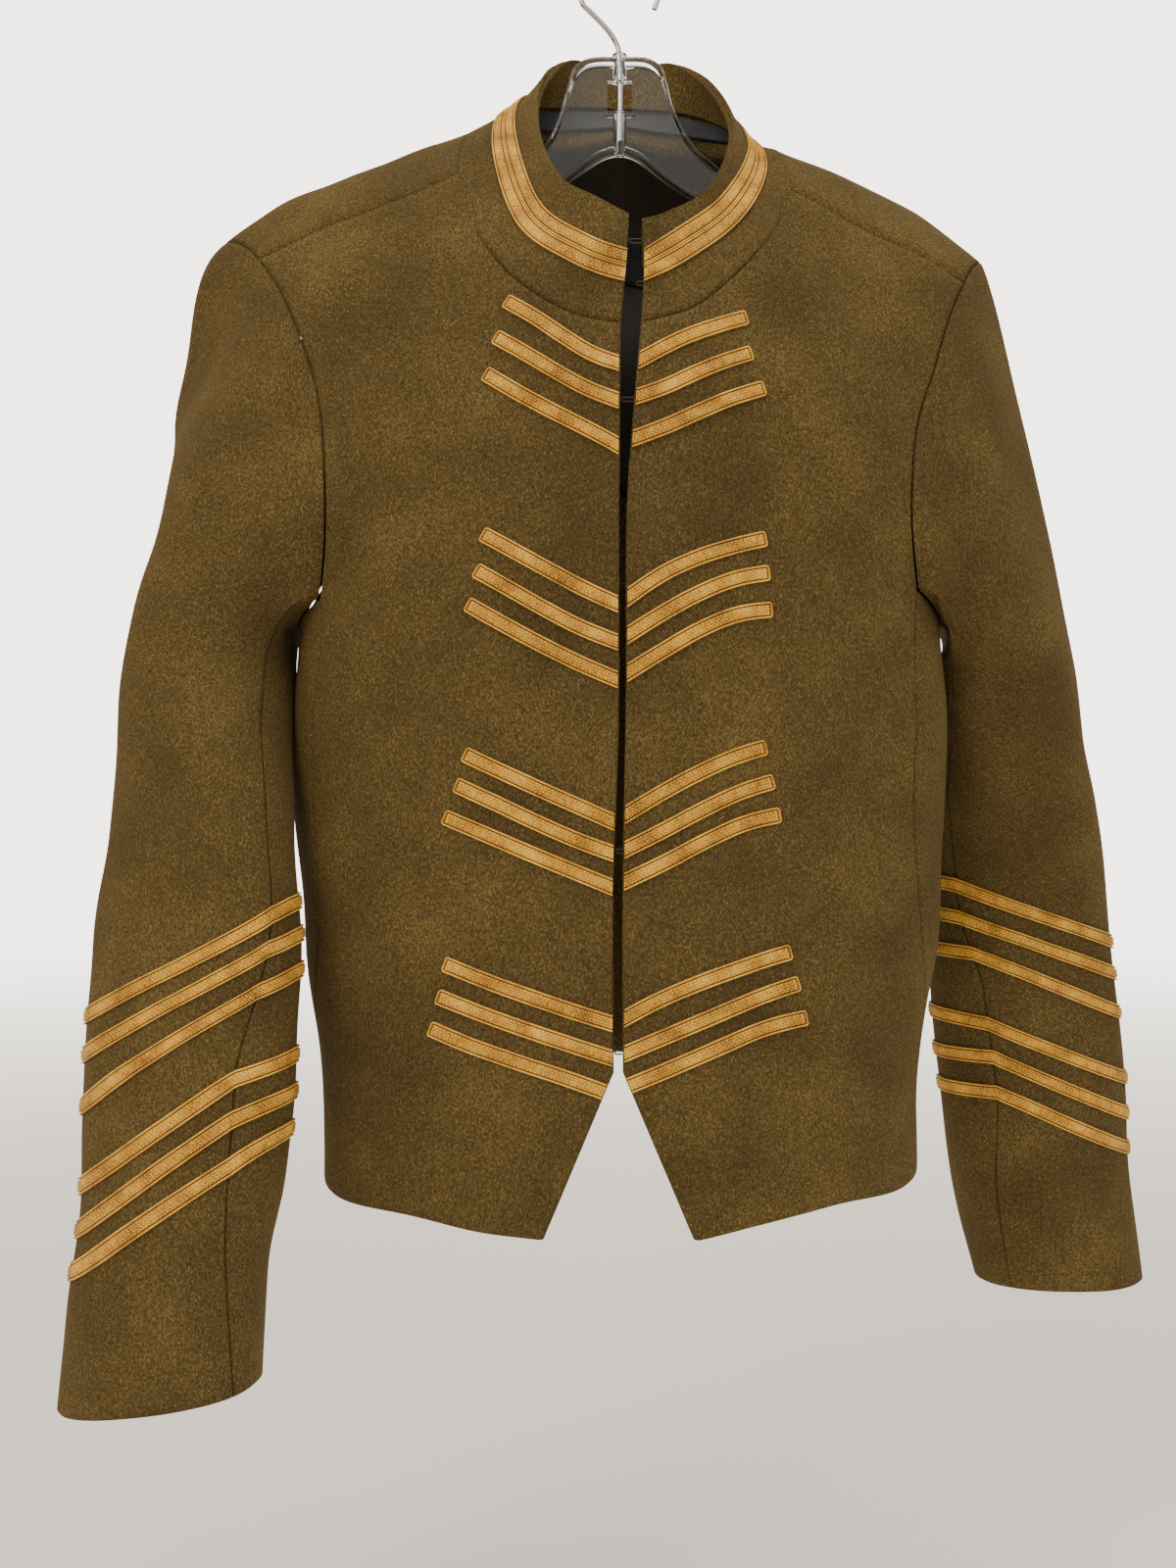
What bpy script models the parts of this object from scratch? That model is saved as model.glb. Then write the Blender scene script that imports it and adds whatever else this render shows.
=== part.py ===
"""Cropped wool military jacket on a clear hanger, with flat braid on the fronts, sleeves and collar.

Metres, +Z up. The origin is the inside top of the hanger's hook, the front faces -Y, and
"left" is -X. Every cloth piece is a wall grown inwards from its outer face. The body panels
are patches of one torso surface, so neighbours share the points of the seam between them.
"""

import math

import bpy
import numpy as np

MM = 0.001
COLLECTION = "military_jacket_on_hanger"

# Cloth and trim
CLOTH = 2.4 * MM
LINING = 1.0 * MM
SEAM_GAP = 0.3 * MM
BRAID_WIDTH = 9.0 * MM
BRAID_THICK = 1.5 * MM
BRAID_LIFT = 0.5 * MM
SLEEVE_BRAID_LIFT = 0.95 * MM

# Body: level Z, half width, depth of the front and of the back from the hanger's plane
BODY_COLUMNS = ("z", "half_width", "front", "back")
BODY = (
    (-750, 172, 84, 68),
    (-700, 173, 84, 69),
    (-640, 176, 85, 71),
    (-580, 184, 86, 73),
    (-520, 188, 87, 74),
    (-465, 191, 88, 75),
    (-390, 187, 89, 77),
    (-300, 210, 89, 78),
    (-200, 242, 86, 78),
    (-100, 256, 84, 76),
)
BODY_SQUARENESS = 2.6
RIDGE_TOP = -73 * MM
RIDGE_SLOPE_LEFT = 0.375
RIDGE_SLOPE_RIGHT = 0.462
DROOP_START_LEFT = 180 * MM
DROOP_START_RIGHT = 168 * MM
DROOP_LEFT = 4.1
DROOP_RIGHT = 6.1
FRONT_ARCH = 250 * MM
BACK_ARCH = 125 * MM

# Hem: angle round the body from centre front, level Z on each side
HEM_COLUMNS = ("degrees", "left", "right")
HEM = (
    (0, -742, -742),
    (13, -737, -737),
    (24, -733, -729),
    (43, -725, -719),
    (58, -723, -717),
    (72, -719, -713),
    (84, -709, -702),
    (93, -698, -693),
    (112, -677, -675),
    (140, -662, -662),
    (180, -657, -657),
)

# Front edges: level Z, X of the left and of the right front, with the notch below the apex
EDGE_COLUMNS = ("z", "left", "right")
EDGE = (
    (-237, -1.0, 10.5),
    (-300, -1.5, 5.0),
    (-340, -1.8, 2.4),
    (-450, -2.0, 1.8),
    (-550, -5.0, 0.2),
    (-645, -4.8, 0.4),
)
NOTCH_TIP_LEFT = (-43, -736)
NOTCH_TIP_RIGHT = (39, -736)

# Front neckline, X and Z from centre front to the shoulder seam, for each side
NECK_COLUMNS = ("x_left", "z_left", "x_right", "z_right")
NECK = (
    (-1, -237, 10.5, -236),
    (-30, -231, 38, -228),
    (-57, -213, 61, -209),
    (-76, -190, 80, -187),
    (-88, -165, 91, -169),
    (-92, -144, 94, -151),
)
NECK_BACK_DROP = 20 * MM
SHOULDER_TIP_LEFT = (-208, -187)
SHOULDER_TIP_RIGHT = (197, -202)

# Armhole, front branch from underarm to shoulder tip: X and Z for each side
ARMHOLE_FRONT_COLUMNS = ("x_left", "z_left", "x_right", "z_right")
ARMHOLE_FRONT = (
    (-169, -384, 166, -380),
    (-165, -350, 161, -340),
    (-165, -310, 164, -295),
    (-172, -262, 176, -255),
    (-190, -215, 188, -219),
    (-208, -187, 197, -202),
)
# Armhole, back branch from underarm to the ridge: distance from the centre, drop from the ridge
ARMHOLE_BACK_COLUMNS = ("x_left", "drop_left", "x_right", "drop_right")
ARMHOLE_BACK = (
    (166, 210, 166, 210),
    (172, 160, 172, 160),
    (182, 105, 179, 105),
    (203, 50, 192, 50),
    (226, 13, 207, 13),
)
ARMHOLE_RIDGE_LEFT = 233
ARMHOLE_RIDGE_RIGHT = 213
UNDERARM_Z = -396 * MM

# Side seams: angle round the body from centre front, at levels from the hem to the armhole
SIDE_FRONT_COLUMNS = ("z", "left_degrees", "right_degrees")
SIDE_FRONT = (
    (-720, 82, 80),
    (-640, 75, 74),
    (-577, 61, 60),
    (-467, 58, 52),
    (-384, 56, 54),
)
SIDE_BACK_DEGREES = 124

# Grid of the panels: how many cells each stretch has
NECK_CELLS = 6
SHOULDER_CELLS = 4
SEAM_CELLS = 10
ARM_FRONT_CELLS = 6
ARM_SIDE_CELLS = 4
ARM_BACK_CELLS = 5
ARM_TOP_CELLS = 2
BACK_NECK_CELLS = 10

# Sleeves, bicep to cuff: level Z, centre X and Y, half length and half depth of the section,
# degrees that the section's outer end turns to the back, rise of the ring per unit of X
SLEEVE_COLUMNS = ("z", "x", "y", "half_long", "half_deep", "turn", "tilt", "seam")
SLEEVE_LEFT = (
    (-425, -236, -20, 44.5, 51, 26, 0.06, -80),
    (-465, -237, -34, 50, 44, 32, 0.00, -79),
    (-511, -236.5, -46, 56.5, 39, 30, 0.00, -77),
    (-576, -236, -58, 62.5, 36, 22, 0.00, -62),
    (-649, -237.5, -70, 60.5, 36, 18, -0.02, -43),
    (-700, -239.5, -80, 57.5, 36, 16, 0.04, -44),
    (-752, -243, -90, 54, 38, 12, 0.09, -50),
    (-811, -245, -103, 54, 38, 8, 0.15, -57),
)
SLEEVE_RIGHT = (
    (-425, 232, 26, 43, 51, -18, -0.04, -36),
    (-460, 235, 38, 47, 45, -14, 0.00, -37),
    (-500, 241, 51, 53, 42, -10, 0.00, -42),
    (-560, 250, 73, 56, 37, -6, 0.00, -41),
    (-620, 258, 84, 58, 36, -4, 0.00, -29),
    (-680, 266, 94, 59, 36, 0, 0.00, -29),
    (-744, 274, 102, 57, 38, 0, 0.00, -37),
    (-808, 287, 108, 54, 40, 0, 0.01, -42),
)
SLEEVE_SQUARENESS = 2.25
SLEEVE_CAP_CELLS = 5
SLEEVE_CELLS = 13
BACK_SEAM = 222
CAP_OUT_LEFT = 0.48
CAP_OUT_RIGHT = 0.1
UNDERARM_OUT = 1.1
UNDERARM_SHARES = (0.55, 0.2)
CAP_DOWN_LEFT = 1.55
CAP_DOWN_RIGHT = 0.5
CAP_SWELL_LEFT = 9.5 * MM
CAP_SWELL_RIGHT = 0.0
CAP_SWELL_AT = 0.57
ARMPIT_THIN = 0.6
ARMPIT_GAP = 0.6 * MM

# Collar rings from left centre front round the back: fraction of the way, then bend and top rim
COLLAR_COLUMNS = ("u", "bend_x", "bend_y", "bend_z", "top_x", "top_y", "top_z")
COLLAR = (
    (0.00, 2, -78, -206, 4, -74, -176),
    (0.08, -22, -76, -197, -14, -72, -166),
    (0.16, -50, -61, -174, -35, -59, -150),
    (0.25, -67, -26, -119, -47, -17, -106),
    (0.33, -63, 10, -86, -46, 16, -66),
    (0.41, -39, 38, -77, -32, 39, -47),
    (0.50, 1, 47, -76, 1, 48, -50),
    (0.59, 43, 39, -81, 36, 39, -49),
    (0.67, 71, 14, -98, 56, 14, -70),
    (0.75, 79, -18, -127, 67, -18, -108),
    (0.84, 61, -52, -167, 52, -56, -155),
    (0.92, 35, -70, -191, 26, -72, -174),
    (1.00, 12, -78, -206, 11, -75, -179),
)
COLLAR_TAPE_STEP = 9.4 * MM
COLLAR_ROWS = 5

# Front braids of each side, top to bottom: X of the outer end, then the level of the middle line
# there, at each quarter of the way and at the front edge
FRONT_BRAID_COLUMNS = ("x", "z", "z_quarter", "z_half", "z_three_quarters", "z_front")
FRONT_BRAIDS_LEFT = (
    (-63.8, -224.9, -234.7, -245.5, -255.1, -261.2),
    (-69.4, -245.4, -255.7, -265.9, -275.1, -282.0),
    (-74.9, -265.6, -277.1, -287.2, -296.7, -306.6),
    (-75.8, -353.5, -363.6, -373.8, -383.5, -391.9),
    (-79.3, -373.0, -384.0, -394.9, -404.7, -412.4),
    (-83.9, -391.2, -402.9, -413.8, -423.8, -432.6),
    (-85.8, -472.3, -481.9, -491.2, -500.3, -509.4),
    (-90.4, -488.8, -498.7, -508.8, -518.3, -526.3),
    (-96.9, -506.3, -515.9, -525.6, -535.1, -544.5),
    (-97.8, -586.6, -595.1, -603.2, -610.9, -618.2),
    (-101.3, -604.3, -613.0, -621.2, -629.1, -637.0),
    (-104.9, -621.6, -631.1, -639.1, -646.7, -655.3),
)
FRONT_BRAIDS_RIGHT = (
    (68.6, -233.6, -238.3, -244.3, -251.5, -259.6),
    (70.7, -254.1, -259.8, -267.0, -274.3, -279.9),
    (77.4, -273.8, -280.1, -288.0, -296.1, -302.7),
    (78.3, -355.8, -360.4, -366.6, -375.5, -388.3),
    (79.9, -374.4, -378.1, -385.9, -396.5, -408.7),
    (81.3, -394.4, -397.3, -405.4, -416.7, -428.9),
    (78.1, -468.6, -474.8, -483.4, -493.7, -505.3),
    (82.4, -487.2, -493.8, -503.3, -514.0, -524.3),
    (86.2, -505.4, -510.6, -520.1, -531.2, -541.5),
    (92.2, -579.8, -586.4, -594.3, -603.8, -615.6),
    (96.4, -596.9, -604.6, -614.3, -624.7, -634.7),
    (100.4, -615.6, -621.3, -630.9, -641.8, -651.7),
)
FRONT_BRAID_CELLS = 6
BRAID_CORNER = 2.2 * MM
BRAID_EDGE_MARGIN = 0.6 * MM

# Sleeve braids: level of the middle line at the outer edge, at the front seam and at the inner edge
SLEEVE_BRAID_COLUMNS = ("z_outer", "z_seam", "z_inner")
SLEEVE_BRAIDS_LEFT = (
    (-618, -559, -553),
    (-639, -577, -570.5),
    (-666.5, -599, -590),
    (-708, -644.5, -635.5),
    (-730, -665.5, -655),
    (-751, -689.5, -674.5),
)
SLEEVE_BRAIDS_RIGHT = (
    (-588, -550.5, -547.5),
    (-608.5, -571, -567.5),
    (-633.5, -593, -591),
    (-676, -637.5, -632.5),
    (-699.5, -658.5, -657.5),
    (-722, -681, -680),
)

# Inside of the neck, in rows of the collar's grid up its height, and in rows and columns of the back's
INNER_COLLAR_ROWS = (2, 3, 4)
NECK_BAND_ROWS = (0.6, 1, 1.7)
LOOSE_GAP = 1.1 * MM
LINING_GAP = 0.85 * MM
NECK_BAND_MARGIN = 7
NECK_LINING_ROWS = 6
LABEL_COLUMNS = (8.35, 9.65)
LABEL_ROWS = (-1.75, -1.25)
LABEL_THICK = 0.8 * MM

# Hanger: sections from the middle outwards, from the lower to the upper edge, X and Z of both
HANGER_COLUMNS = ("low_x", "low_z", "up_x", "up_z")
HANGER_LEFT = (
    (0, -119, 0, -60.5),
    (-5, -119.7, -14, -60.5),
    (-9, -121, -21, -62),
    (-13, -123, -27, -67),
    (-19, -127, -30.5, -77),
    (-26, -132, -34, -90),
    (-38, -140, -41, -106),
    (-60, -148.5, -58, -119),
    (-90, -155, -90, -129),
    (-130, -160.5, -130, -136),
    (-165, -163.3, -168, -141.6),
    (-184, -167.8, -189, -151.4),
)
HANGER_RIGHT = (
    (0, -119, 0, -60.5),
    (5, -119.9, 12, -60.5),
    (9, -121.5, 18, -61.5),
    (13, -124, 24.5, -66),
    (19, -129, 28, -76),
    (27, -135, 32, -91),
    (42, -144.5, 41, -108),
    (64, -155, 60, -125),
    (90, -163, 90, -138.5),
    (130, -170.5, 130, -147),
    (163, -174.6, 165, -155.2),
    (180, -182.2, 186, -167.6),
)
HANGER_CELLS = 44
PLATE_THICK = 3.0 * MM
RIM_RADIUS = 3.2 * MM
WINDOW_HALF = 7.2 * MM
WINDOW_Z = (-93, -75.5)
WINDOW_FRAME = 2.6 * MM
BOSS_RADIUS = 4.2 * MM
BORE_RADIUS = 2.1 * MM
HOOK_RADIUS = 23 * MM
HOOK_WIRE = 1.6 * MM
HOOK_LEG = ((0, -110), (0, -62), (-1.2, -54), (-5, -47), (-11, -40), (-18, -33))

# Hooks and eyes across the front opening: level Z
FASTENERS = (-281, -525, -634)
COLLAR_HOOK_Z = -192 * MM
COLLAR_EYE_Z = -216 * MM
WIRE = 0.45 * MM
WIRE_BEND = 1.1 * MM


# ---------------------------------------------------------------- curves and tables

def column(table, columns, name, scale=MM):
    """One column of a table as an array."""
    return np.array([row[columns.index(name)] for row in table], float) * scale


def smooth(x, knots, values):
    """Shape-preserving cubic through knots in rising order, for one or more columns of values."""
    knots = np.asarray(knots, float)
    values = np.asarray(values, float)
    flat = values.ndim == 1
    if flat:
        values = values[:, None]
    h = np.diff(knots)
    d = np.diff(values, axis=0) / h[:, None]
    m = np.zeros_like(values)
    same = d[:-1] * d[1:] > 0
    w1 = (2 * h[1:] + h[:-1])[:, None]
    w2 = (h[1:] + 2 * h[:-1])[:, None]
    with np.errstate(divide="ignore", invalid="ignore"):
        mean = (w1 + w2) / (w1 / d[:-1] + w2 / d[1:])
    m[1:-1] = np.where(same, mean, 0.0)
    m[0] = d[0]
    m[-1] = d[-1]
    x = np.clip(np.asarray(x, float), knots[0], knots[-1])
    i = np.clip(np.searchsorted(knots, x, side="right") - 1, 0, len(h) - 1)
    t = ((x - knots[i]) / h[i])[..., None]
    step = h[i][..., None]
    out = (
        (2 * t**3 - 3 * t**2 + 1) * values[i]
        + (t**3 - 2 * t**2 + t) * step * m[i]
        + (3 * t**2 - 2 * t**3) * values[i + 1]
        + (t**3 - t**2) * step * m[i + 1]
    )
    return out[..., 0] if flat else out


def along(points, count):
    """count + 1 points on a smooth curve through the points, evenly spaced by length."""
    points = np.asarray(points, float)
    chord = np.linalg.norm(np.diff(points, axis=0), axis=1)
    knots = np.concatenate([[0], np.cumsum(np.sqrt(chord))])
    dense = smooth_open(np.linspace(0, knots[-1], 400), knots, points)
    length = np.concatenate([[0], np.cumsum(np.linalg.norm(np.diff(dense, axis=0), axis=1))])
    want = np.linspace(0, length[-1], count + 1)
    return np.stack([np.interp(want, length, dense[:, k]) for k in range(points.shape[1])], axis=1)


def smooth_open(x, knots, points):
    """Catmull-Rom curve through the points at the knots."""
    m = np.empty_like(points)
    h = np.diff(knots)
    d = np.diff(points, axis=0) / h[:, None]
    if len(points) > 2:
        m[1:-1] = (d[:-1] * h[1:, None] + d[1:] * h[:-1, None]) / (h[1:] + h[:-1])[:, None]
        m[0] = 1.5 * d[0] - 0.5 * m[1]
        m[-1] = 1.5 * d[-1] - 0.5 * m[-2]
    else:
        m[:] = d[0]
    i = np.clip(np.searchsorted(knots, x, side="right") - 1, 0, len(h) - 1)
    t = ((x - knots[i]) / h[i])[:, None]
    step = h[i][:, None]
    return (
        (2 * t**3 - 3 * t**2 + 1) * points[i]
        + (t**3 - 2 * t**2 + t) * step * m[i]
        + (3 * t**2 - 2 * t**3) * points[i + 1]
        + (t**3 - t**2) * step * m[i + 1]
    )


def patch(bottom, top, left, right):
    """Coons patch: rows from bottom to top, columns from left to right."""
    rows, cols = len(left), len(bottom)
    v = np.linspace(0, 1, rows)[:, None, None]
    u = np.linspace(0, 1, cols)[None, :, None]
    ruled = (1 - v) * bottom[None] + v * top[None] + (1 - u) * left[:, None] + u * right[:, None]
    corners = (
        (1 - u) * (1 - v) * bottom[0]
        + u * (1 - v) * bottom[-1]
        + (1 - u) * v * top[0]
        + u * v * top[-1]
    )
    return ruled - corners


# ---------------------------------------------------------------- torso surface

BODY_Z = column(BODY, BODY_COLUMNS, "z")
BODY_SIZES = np.stack([column(BODY, BODY_COLUMNS, name) for name in BODY_COLUMNS[1:]], axis=1)


def girth(z):
    """Half width, front depth and back depth of the body at a level."""
    sizes = smooth(z, BODY_Z, BODY_SIZES)
    return sizes[..., 0], sizes[..., 1], sizes[..., 2]


def ridge(x):
    """Height of the shoulder ridge above a point across the body."""
    left, away = np.asarray(x) < 0, np.abs(x)
    past = np.maximum(away - np.where(left, DROOP_START_LEFT, DROOP_START_RIGHT), 0)
    droop = np.where(left, DROOP_LEFT, DROOP_RIGHT) * past**2
    return RIDGE_TOP - np.where(left, RIDGE_SLOPE_LEFT, RIDGE_SLOPE_RIGHT) * away - droop


def reach(angle):
    """Radius of the unit section in a direction."""
    s, c = np.abs(np.sin(angle)), np.abs(np.cos(angle))
    return (s**BODY_SQUARENESS + c**BODY_SQUARENESS) ** (-1 / BODY_SQUARENESS)


def torso(angle, z):
    """Point of the body at an angle from centre front (negative to the left) and a level."""
    angle, z = np.broadcast_arrays(np.asarray(angle, float), np.asarray(z, float))
    half, front, back = girth(z)
    r = reach(angle)
    x = half * r * np.sin(angle)
    drop = ridge(x) - z
    ahead = np.cos(angle) > 0
    arch = np.clip(drop / np.where(ahead, FRONT_ARCH, BACK_ARCH), 0, 1)
    depth = np.where(ahead, front, back) * np.sqrt(1 - (1 - arch) ** 2)
    return np.stack([x, -depth * r * np.cos(angle), z], axis=-1)


def facing(surface, u, v, outward):
    """Points of a surface and its unit normals, turned by sign, at two parameters."""
    step = 1e-4
    points = surface(u, v)
    du = surface(u + step, v) - surface(u - step, v)
    dv = surface(u, v + step) - surface(u, v - step)
    normal = np.cross(du, dv) * outward
    return points, normal / np.linalg.norm(normal, axis=-1, keepdims=True)


def angle_of(x, z):
    """Angle on the front half of the body at which it is x across, at a level."""
    x, z = np.broadcast_arrays(np.asarray(x, float), np.asarray(z, float))
    share = np.abs(x) / girth(z)[0]
    table = np.linspace(0, math.pi / 2, 400)
    return np.sign(x) * np.interp(share, reach(table) * np.sin(table), table)


def over(x, turn):
    """Point over the shoulder: x across, turn < 0 in front of the ridge and > 0 behind it."""
    x, turn = np.broadcast_arrays(np.asarray(x, float), np.asarray(turn, float))
    ahead = turn < 0
    arch = np.where(ahead, FRONT_ARCH, BACK_ARCH)
    bent = np.minimum(np.abs(turn), math.pi / 2)
    drop = arch * (1 - np.cos(bent)) + arch * (np.abs(turn) - bent)
    z = ridge(x) - drop
    half, front, back = girth(z)
    share = np.clip(np.abs(x) / half, 0, 0.9999)
    width = (1 - share**BODY_SQUARENESS) ** (1 / BODY_SQUARENESS)
    depth = np.where(ahead, -front, back) * np.sin(bent) * width
    return np.stack([x, depth, z], axis=-1)


def turn_of(drop, ahead):
    """Turn over the shoulder that lies a drop below the ridge, in front or behind."""
    arch = FRONT_ARCH if ahead else BACK_ARCH
    drop = np.asarray(drop, float)
    bent = np.arccos(1 - np.clip(drop / arch, 0, 1)) + np.maximum(drop - arch, 0) / arch
    return -bent if ahead else bent


def hem_level(angle):
    """Level of the hem at an angle round the body."""
    degrees = np.degrees(np.abs(angle))
    knots = column(HEM, HEM_COLUMNS, "degrees", 1)
    left, right = (smooth(degrees, knots, column(HEM, HEM_COLUMNS, name)) for name in ("left", "right"))
    return np.where(np.asarray(angle) < 0, left, right)


class Side:
    """The named sizes of one side: sign is -1 for the left and 1 for the right."""

    def __init__(self, sign):
        self.sign = sign
        self.name = "left" if sign < 0 else "right"
        self.tip = np.array(SHOULDER_TIP_LEFT if sign < 0 else SHOULDER_TIP_RIGHT) * MM
        self.notch = np.array(NOTCH_TIP_LEFT if sign < 0 else NOTCH_TIP_RIGHT) * MM
        self.neck = self.pairs(NECK, NECK_COLUMNS)
        self.arm = self.pairs(ARMHOLE_FRONT, ARMHOLE_FRONT_COLUMNS)
        self.ridge_x = sign * (ARMHOLE_RIDGE_LEFT if sign < 0 else ARMHOLE_RIDGE_RIGHT) * MM
        self.edge = np.stack([column(EDGE, EDGE_COLUMNS, self.name), column(EDGE, EDGE_COLUMNS, "z")], axis=1)

    def pairs(self, table, columns):
        """X and Z columns of this side."""
        return np.stack([column(table, columns, "x_" + self.name), column(table, columns, "z_" + self.name)], axis=1)

    def seam_angle(self, z):
        """Angle of the side-front seam at a level."""
        levels = column(SIDE_FRONT, SIDE_FRONT_COLUMNS, "z")
        degrees = column(SIDE_FRONT, SIDE_FRONT_COLUMNS, self.name + "_degrees", 1)
        return self.sign * np.radians(smooth(z, levels, degrees))

    def seam(self):
        """Side-front seam from hem to armhole, as angle and level."""
        start = self.sign * math.radians(82)
        top = self.arm[0, 1]
        angle = start
        for _ in range(4):
            angle = float(self.seam_angle(hem_level(angle)))
        levels = np.linspace(float(hem_level(angle)), top, SEAM_CELLS + 1)
        angles = self.seam_angle(levels)
        angles[-1] = angle_of(self.arm[0, 0], top)
        blend = np.linspace(0, 1, SEAM_CELLS + 1) ** 6
        angles = self.seam_angle(levels) * (1 - blend) + angles[-1] * blend
        return np.stack([angles, levels], axis=1)

    def side_back(self):
        """Side-back seam from hem to armhole, as angle and level."""
        angle = self.sign * math.radians(SIDE_BACK_DEGREES)
        x = self.sign * ARMHOLE_BACK[0][0] * MM
        top = float(ridge(x)) - ARMHOLE_BACK[0][1] * MM
        top_angle = self.sign * math.pi - float(angle_of(x, top))
        levels = np.linspace(float(hem_level(angle)), top, SEAM_CELLS + 1)
        share = np.linspace(0, 1, SEAM_CELLS + 1) ** 2
        return np.stack([angle + (top_angle - angle) * share, levels], axis=1)


LEFT, RIGHT = Side(-1), Side(1)


def in_angles(points):
    """X and Z on the front half, as angle and level."""
    return np.stack([angle_of(points[:, 0], points[:, 1]), points[:, 1]], axis=1)


def front_grid(side):
    """Outer face of a front: rows from hem to shoulder, columns from the front edge outwards."""
    seam = side.seam()
    arm = in_angles(along(side.arm, ARM_FRONT_CELLS))
    outer = np.concatenate([seam, arm[1:]])
    rows_below = 3
    notch = along([side.notch, side.edge[-1]], rows_below)
    rows = len(outer) - 1
    inner = along(side.edge[::-1], rows - rows_below)
    inner = in_angles(np.concatenate([notch, inner[1:]]))
    neck = in_angles(along(side.neck, NECK_CELLS))
    shoulder = in_angles(along([side.neck[-1], side.tip], SHOULDER_CELLS))
    top = np.concatenate([neck, shoulder[1:]])
    ends = np.linspace(inner[0, 0], seam[0, 0], len(top))
    bottom = np.stack([ends, hem_level(ends)], axis=1)
    bottom[0] = inner[0]
    bottom[-1] = seam[0]
    grid = patch(bottom, top, inner, outer)
    return facing(torso, grid[..., 0], grid[..., 1], 1)


def side_grid(side):
    """Outer face of a side panel: rows from hem to armhole, columns from front to back seam."""
    front, back = side.seam(), side.side_back()
    share = np.linspace(0, 1, ARM_SIDE_CELLS + 1)
    hem = front[0, 0] + (back[0, 0] - front[0, 0]) * share
    bottom = np.stack([hem, hem_level(hem)], axis=1)
    bottom[0], bottom[-1] = front[0], back[0]
    under = np.array([side.sign * math.pi / 2, UNDERARM_Z])
    top = along([front[-1], under, back[-1]], ARM_SIDE_CELLS)
    grid = patch(bottom, top, front, back)
    return facing(torso, grid[..., 0], grid[..., 1], 1)


def back_domain(side):
    """Outer edge of one half of the back, as X and turn, from hem to shoulder tip."""
    seam = side.side_back()
    points = torso(seam[:, 0], seam[:, 1])
    seam_x = points[:, 0]
    seam_turn = turn_of(ridge(seam_x) - points[:, 2], False)
    arm_x = side.sign * column(ARMHOLE_BACK, ARMHOLE_BACK_COLUMNS, "x_" + side.name)
    arm_turn = turn_of(column(ARMHOLE_BACK, ARMHOLE_BACK_COLUMNS, "drop_" + side.name), False)
    scale = 0.1
    arm = along(np.stack([arm_x, arm_turn * scale], axis=1), ARM_BACK_CELLS)
    arm[:, 1] /= scale
    tip = np.array([side.tip[0], float(turn_of(ridge(side.tip[0]) - side.tip[1], True))])
    across = np.array([1, scale])
    over_top = along([arm[-1] * across, [side.ridge_x, 0.0], tip * across], ARM_TOP_CELLS) / across
    seam_edge = np.stack([seam_x, seam_turn], axis=1)
    return np.concatenate([seam_edge, arm[1:], over_top[1:]])


def back_grid():
    """Outer face of the back: rows from hem over the shoulders, columns from left to right."""
    left, right = back_domain(LEFT), back_domain(RIGHT)

    def shoulder(side):
        line = along([side.neck[-1], side.tip], SHOULDER_CELLS)
        return np.stack([line[:, 0], turn_of(ridge(line[:, 0]) - line[:, 1], True)], axis=1)

    from_left, from_right = shoulder(LEFT), shoulder(RIGHT)
    centre = np.array([0.0, float(turn_of(NECK_BACK_DROP, False))])
    scale = 0.1
    neck = [from_left[0], [-86 * MM, -0.05], [-62 * MM, 0.36], centre, [62 * MM, 0.36], [88 * MM, -0.05], from_right[0]]
    neck = np.array(neck)
    neck[:, 1] *= scale
    neck = along(neck, BACK_NECK_CELLS)
    neck[:, 1] /= scale
    top = np.concatenate([from_left[::-1], neck[1:-1], from_right])
    share = np.linspace(0, 1, len(top))
    first = -math.radians(SIDE_BACK_DEGREES)
    angles = first - share * (2 * math.pi + 2 * first)
    angles = np.where(angles < -math.pi, angles + 2 * math.pi, angles)
    points = torso(angles, hem_level(angles))
    bottom = np.stack([points[:, 0], turn_of(ridge(points[:, 0]) - points[:, 2], False)], axis=1)
    bottom[0], bottom[-1] = left[0], right[0]
    grid = patch(bottom, top, left, right)
    return facing(over, grid[..., 0], grid[..., 1], 1)


# ---------------------------------------------------------------- sleeves

def sleeve_sizes(table, level):
    """Centre, section and turn of a sleeve at a level counted from the bicep down."""
    levels = -column(table, SLEEVE_COLUMNS, "z")
    rows = np.array(table, float)
    sizes = smooth(level, levels, rows)
    return sizes


def sleeve_ring(table, level, degrees, sign):
    """Points of a sleeve's ring: 0 degrees in front, 90 on the outer edge, 180 behind."""
    z, x, y, half_long, half_deep, turn, tilt, _ = np.moveaxis(sleeve_sizes(table, level), -1, 0)
    a = np.radians(degrees)
    s, c = np.sin(a), np.cos(a)
    n = SLEEVE_SQUARENESS
    r = (np.abs(s) ** n + np.abs(c) ** n) ** (-1 / n)
    out, ahead = half_long * r * s, half_deep * r * c
    t = np.radians(turn)
    px = sign * (out * np.cos(t) + ahead * np.sin(t))
    py = out * np.sin(t) - ahead * np.cos(t)
    return np.stack([x + px, y + py, z + tilt * px], axis=-1) * MM


def armhole(side):
    """Ring of the armhole, from the shoulder tip down the front, under the arm and up the back.

    Gives its points, the body's normals there and how far each point lies under the arm.
    """
    column_of = 0 if side.sign < 0 else -1
    rings = []
    for front, under, back in zip(front_grid(side), side_grid(side), back_grid()):
        front, back = front[SEAM_CELLS:, -1][::-1], back[SEAM_CELLS:, column_of]
        rings.append(np.concatenate([front, under[-1][1:], back[1:-1]]))
    under_arm = np.zeros(len(rings[0]))
    first = ARM_FRONT_CELLS
    under_arm[first : first + ARM_SIDE_CELLS + 1] = 1
    for ahead, share in enumerate(UNDERARM_SHARES, 1):
        under_arm[first - ahead] = share
        under_arm[first + ARM_SIDE_CELLS + ahead] = share
    return rings[0], rings[1], under_arm


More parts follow.
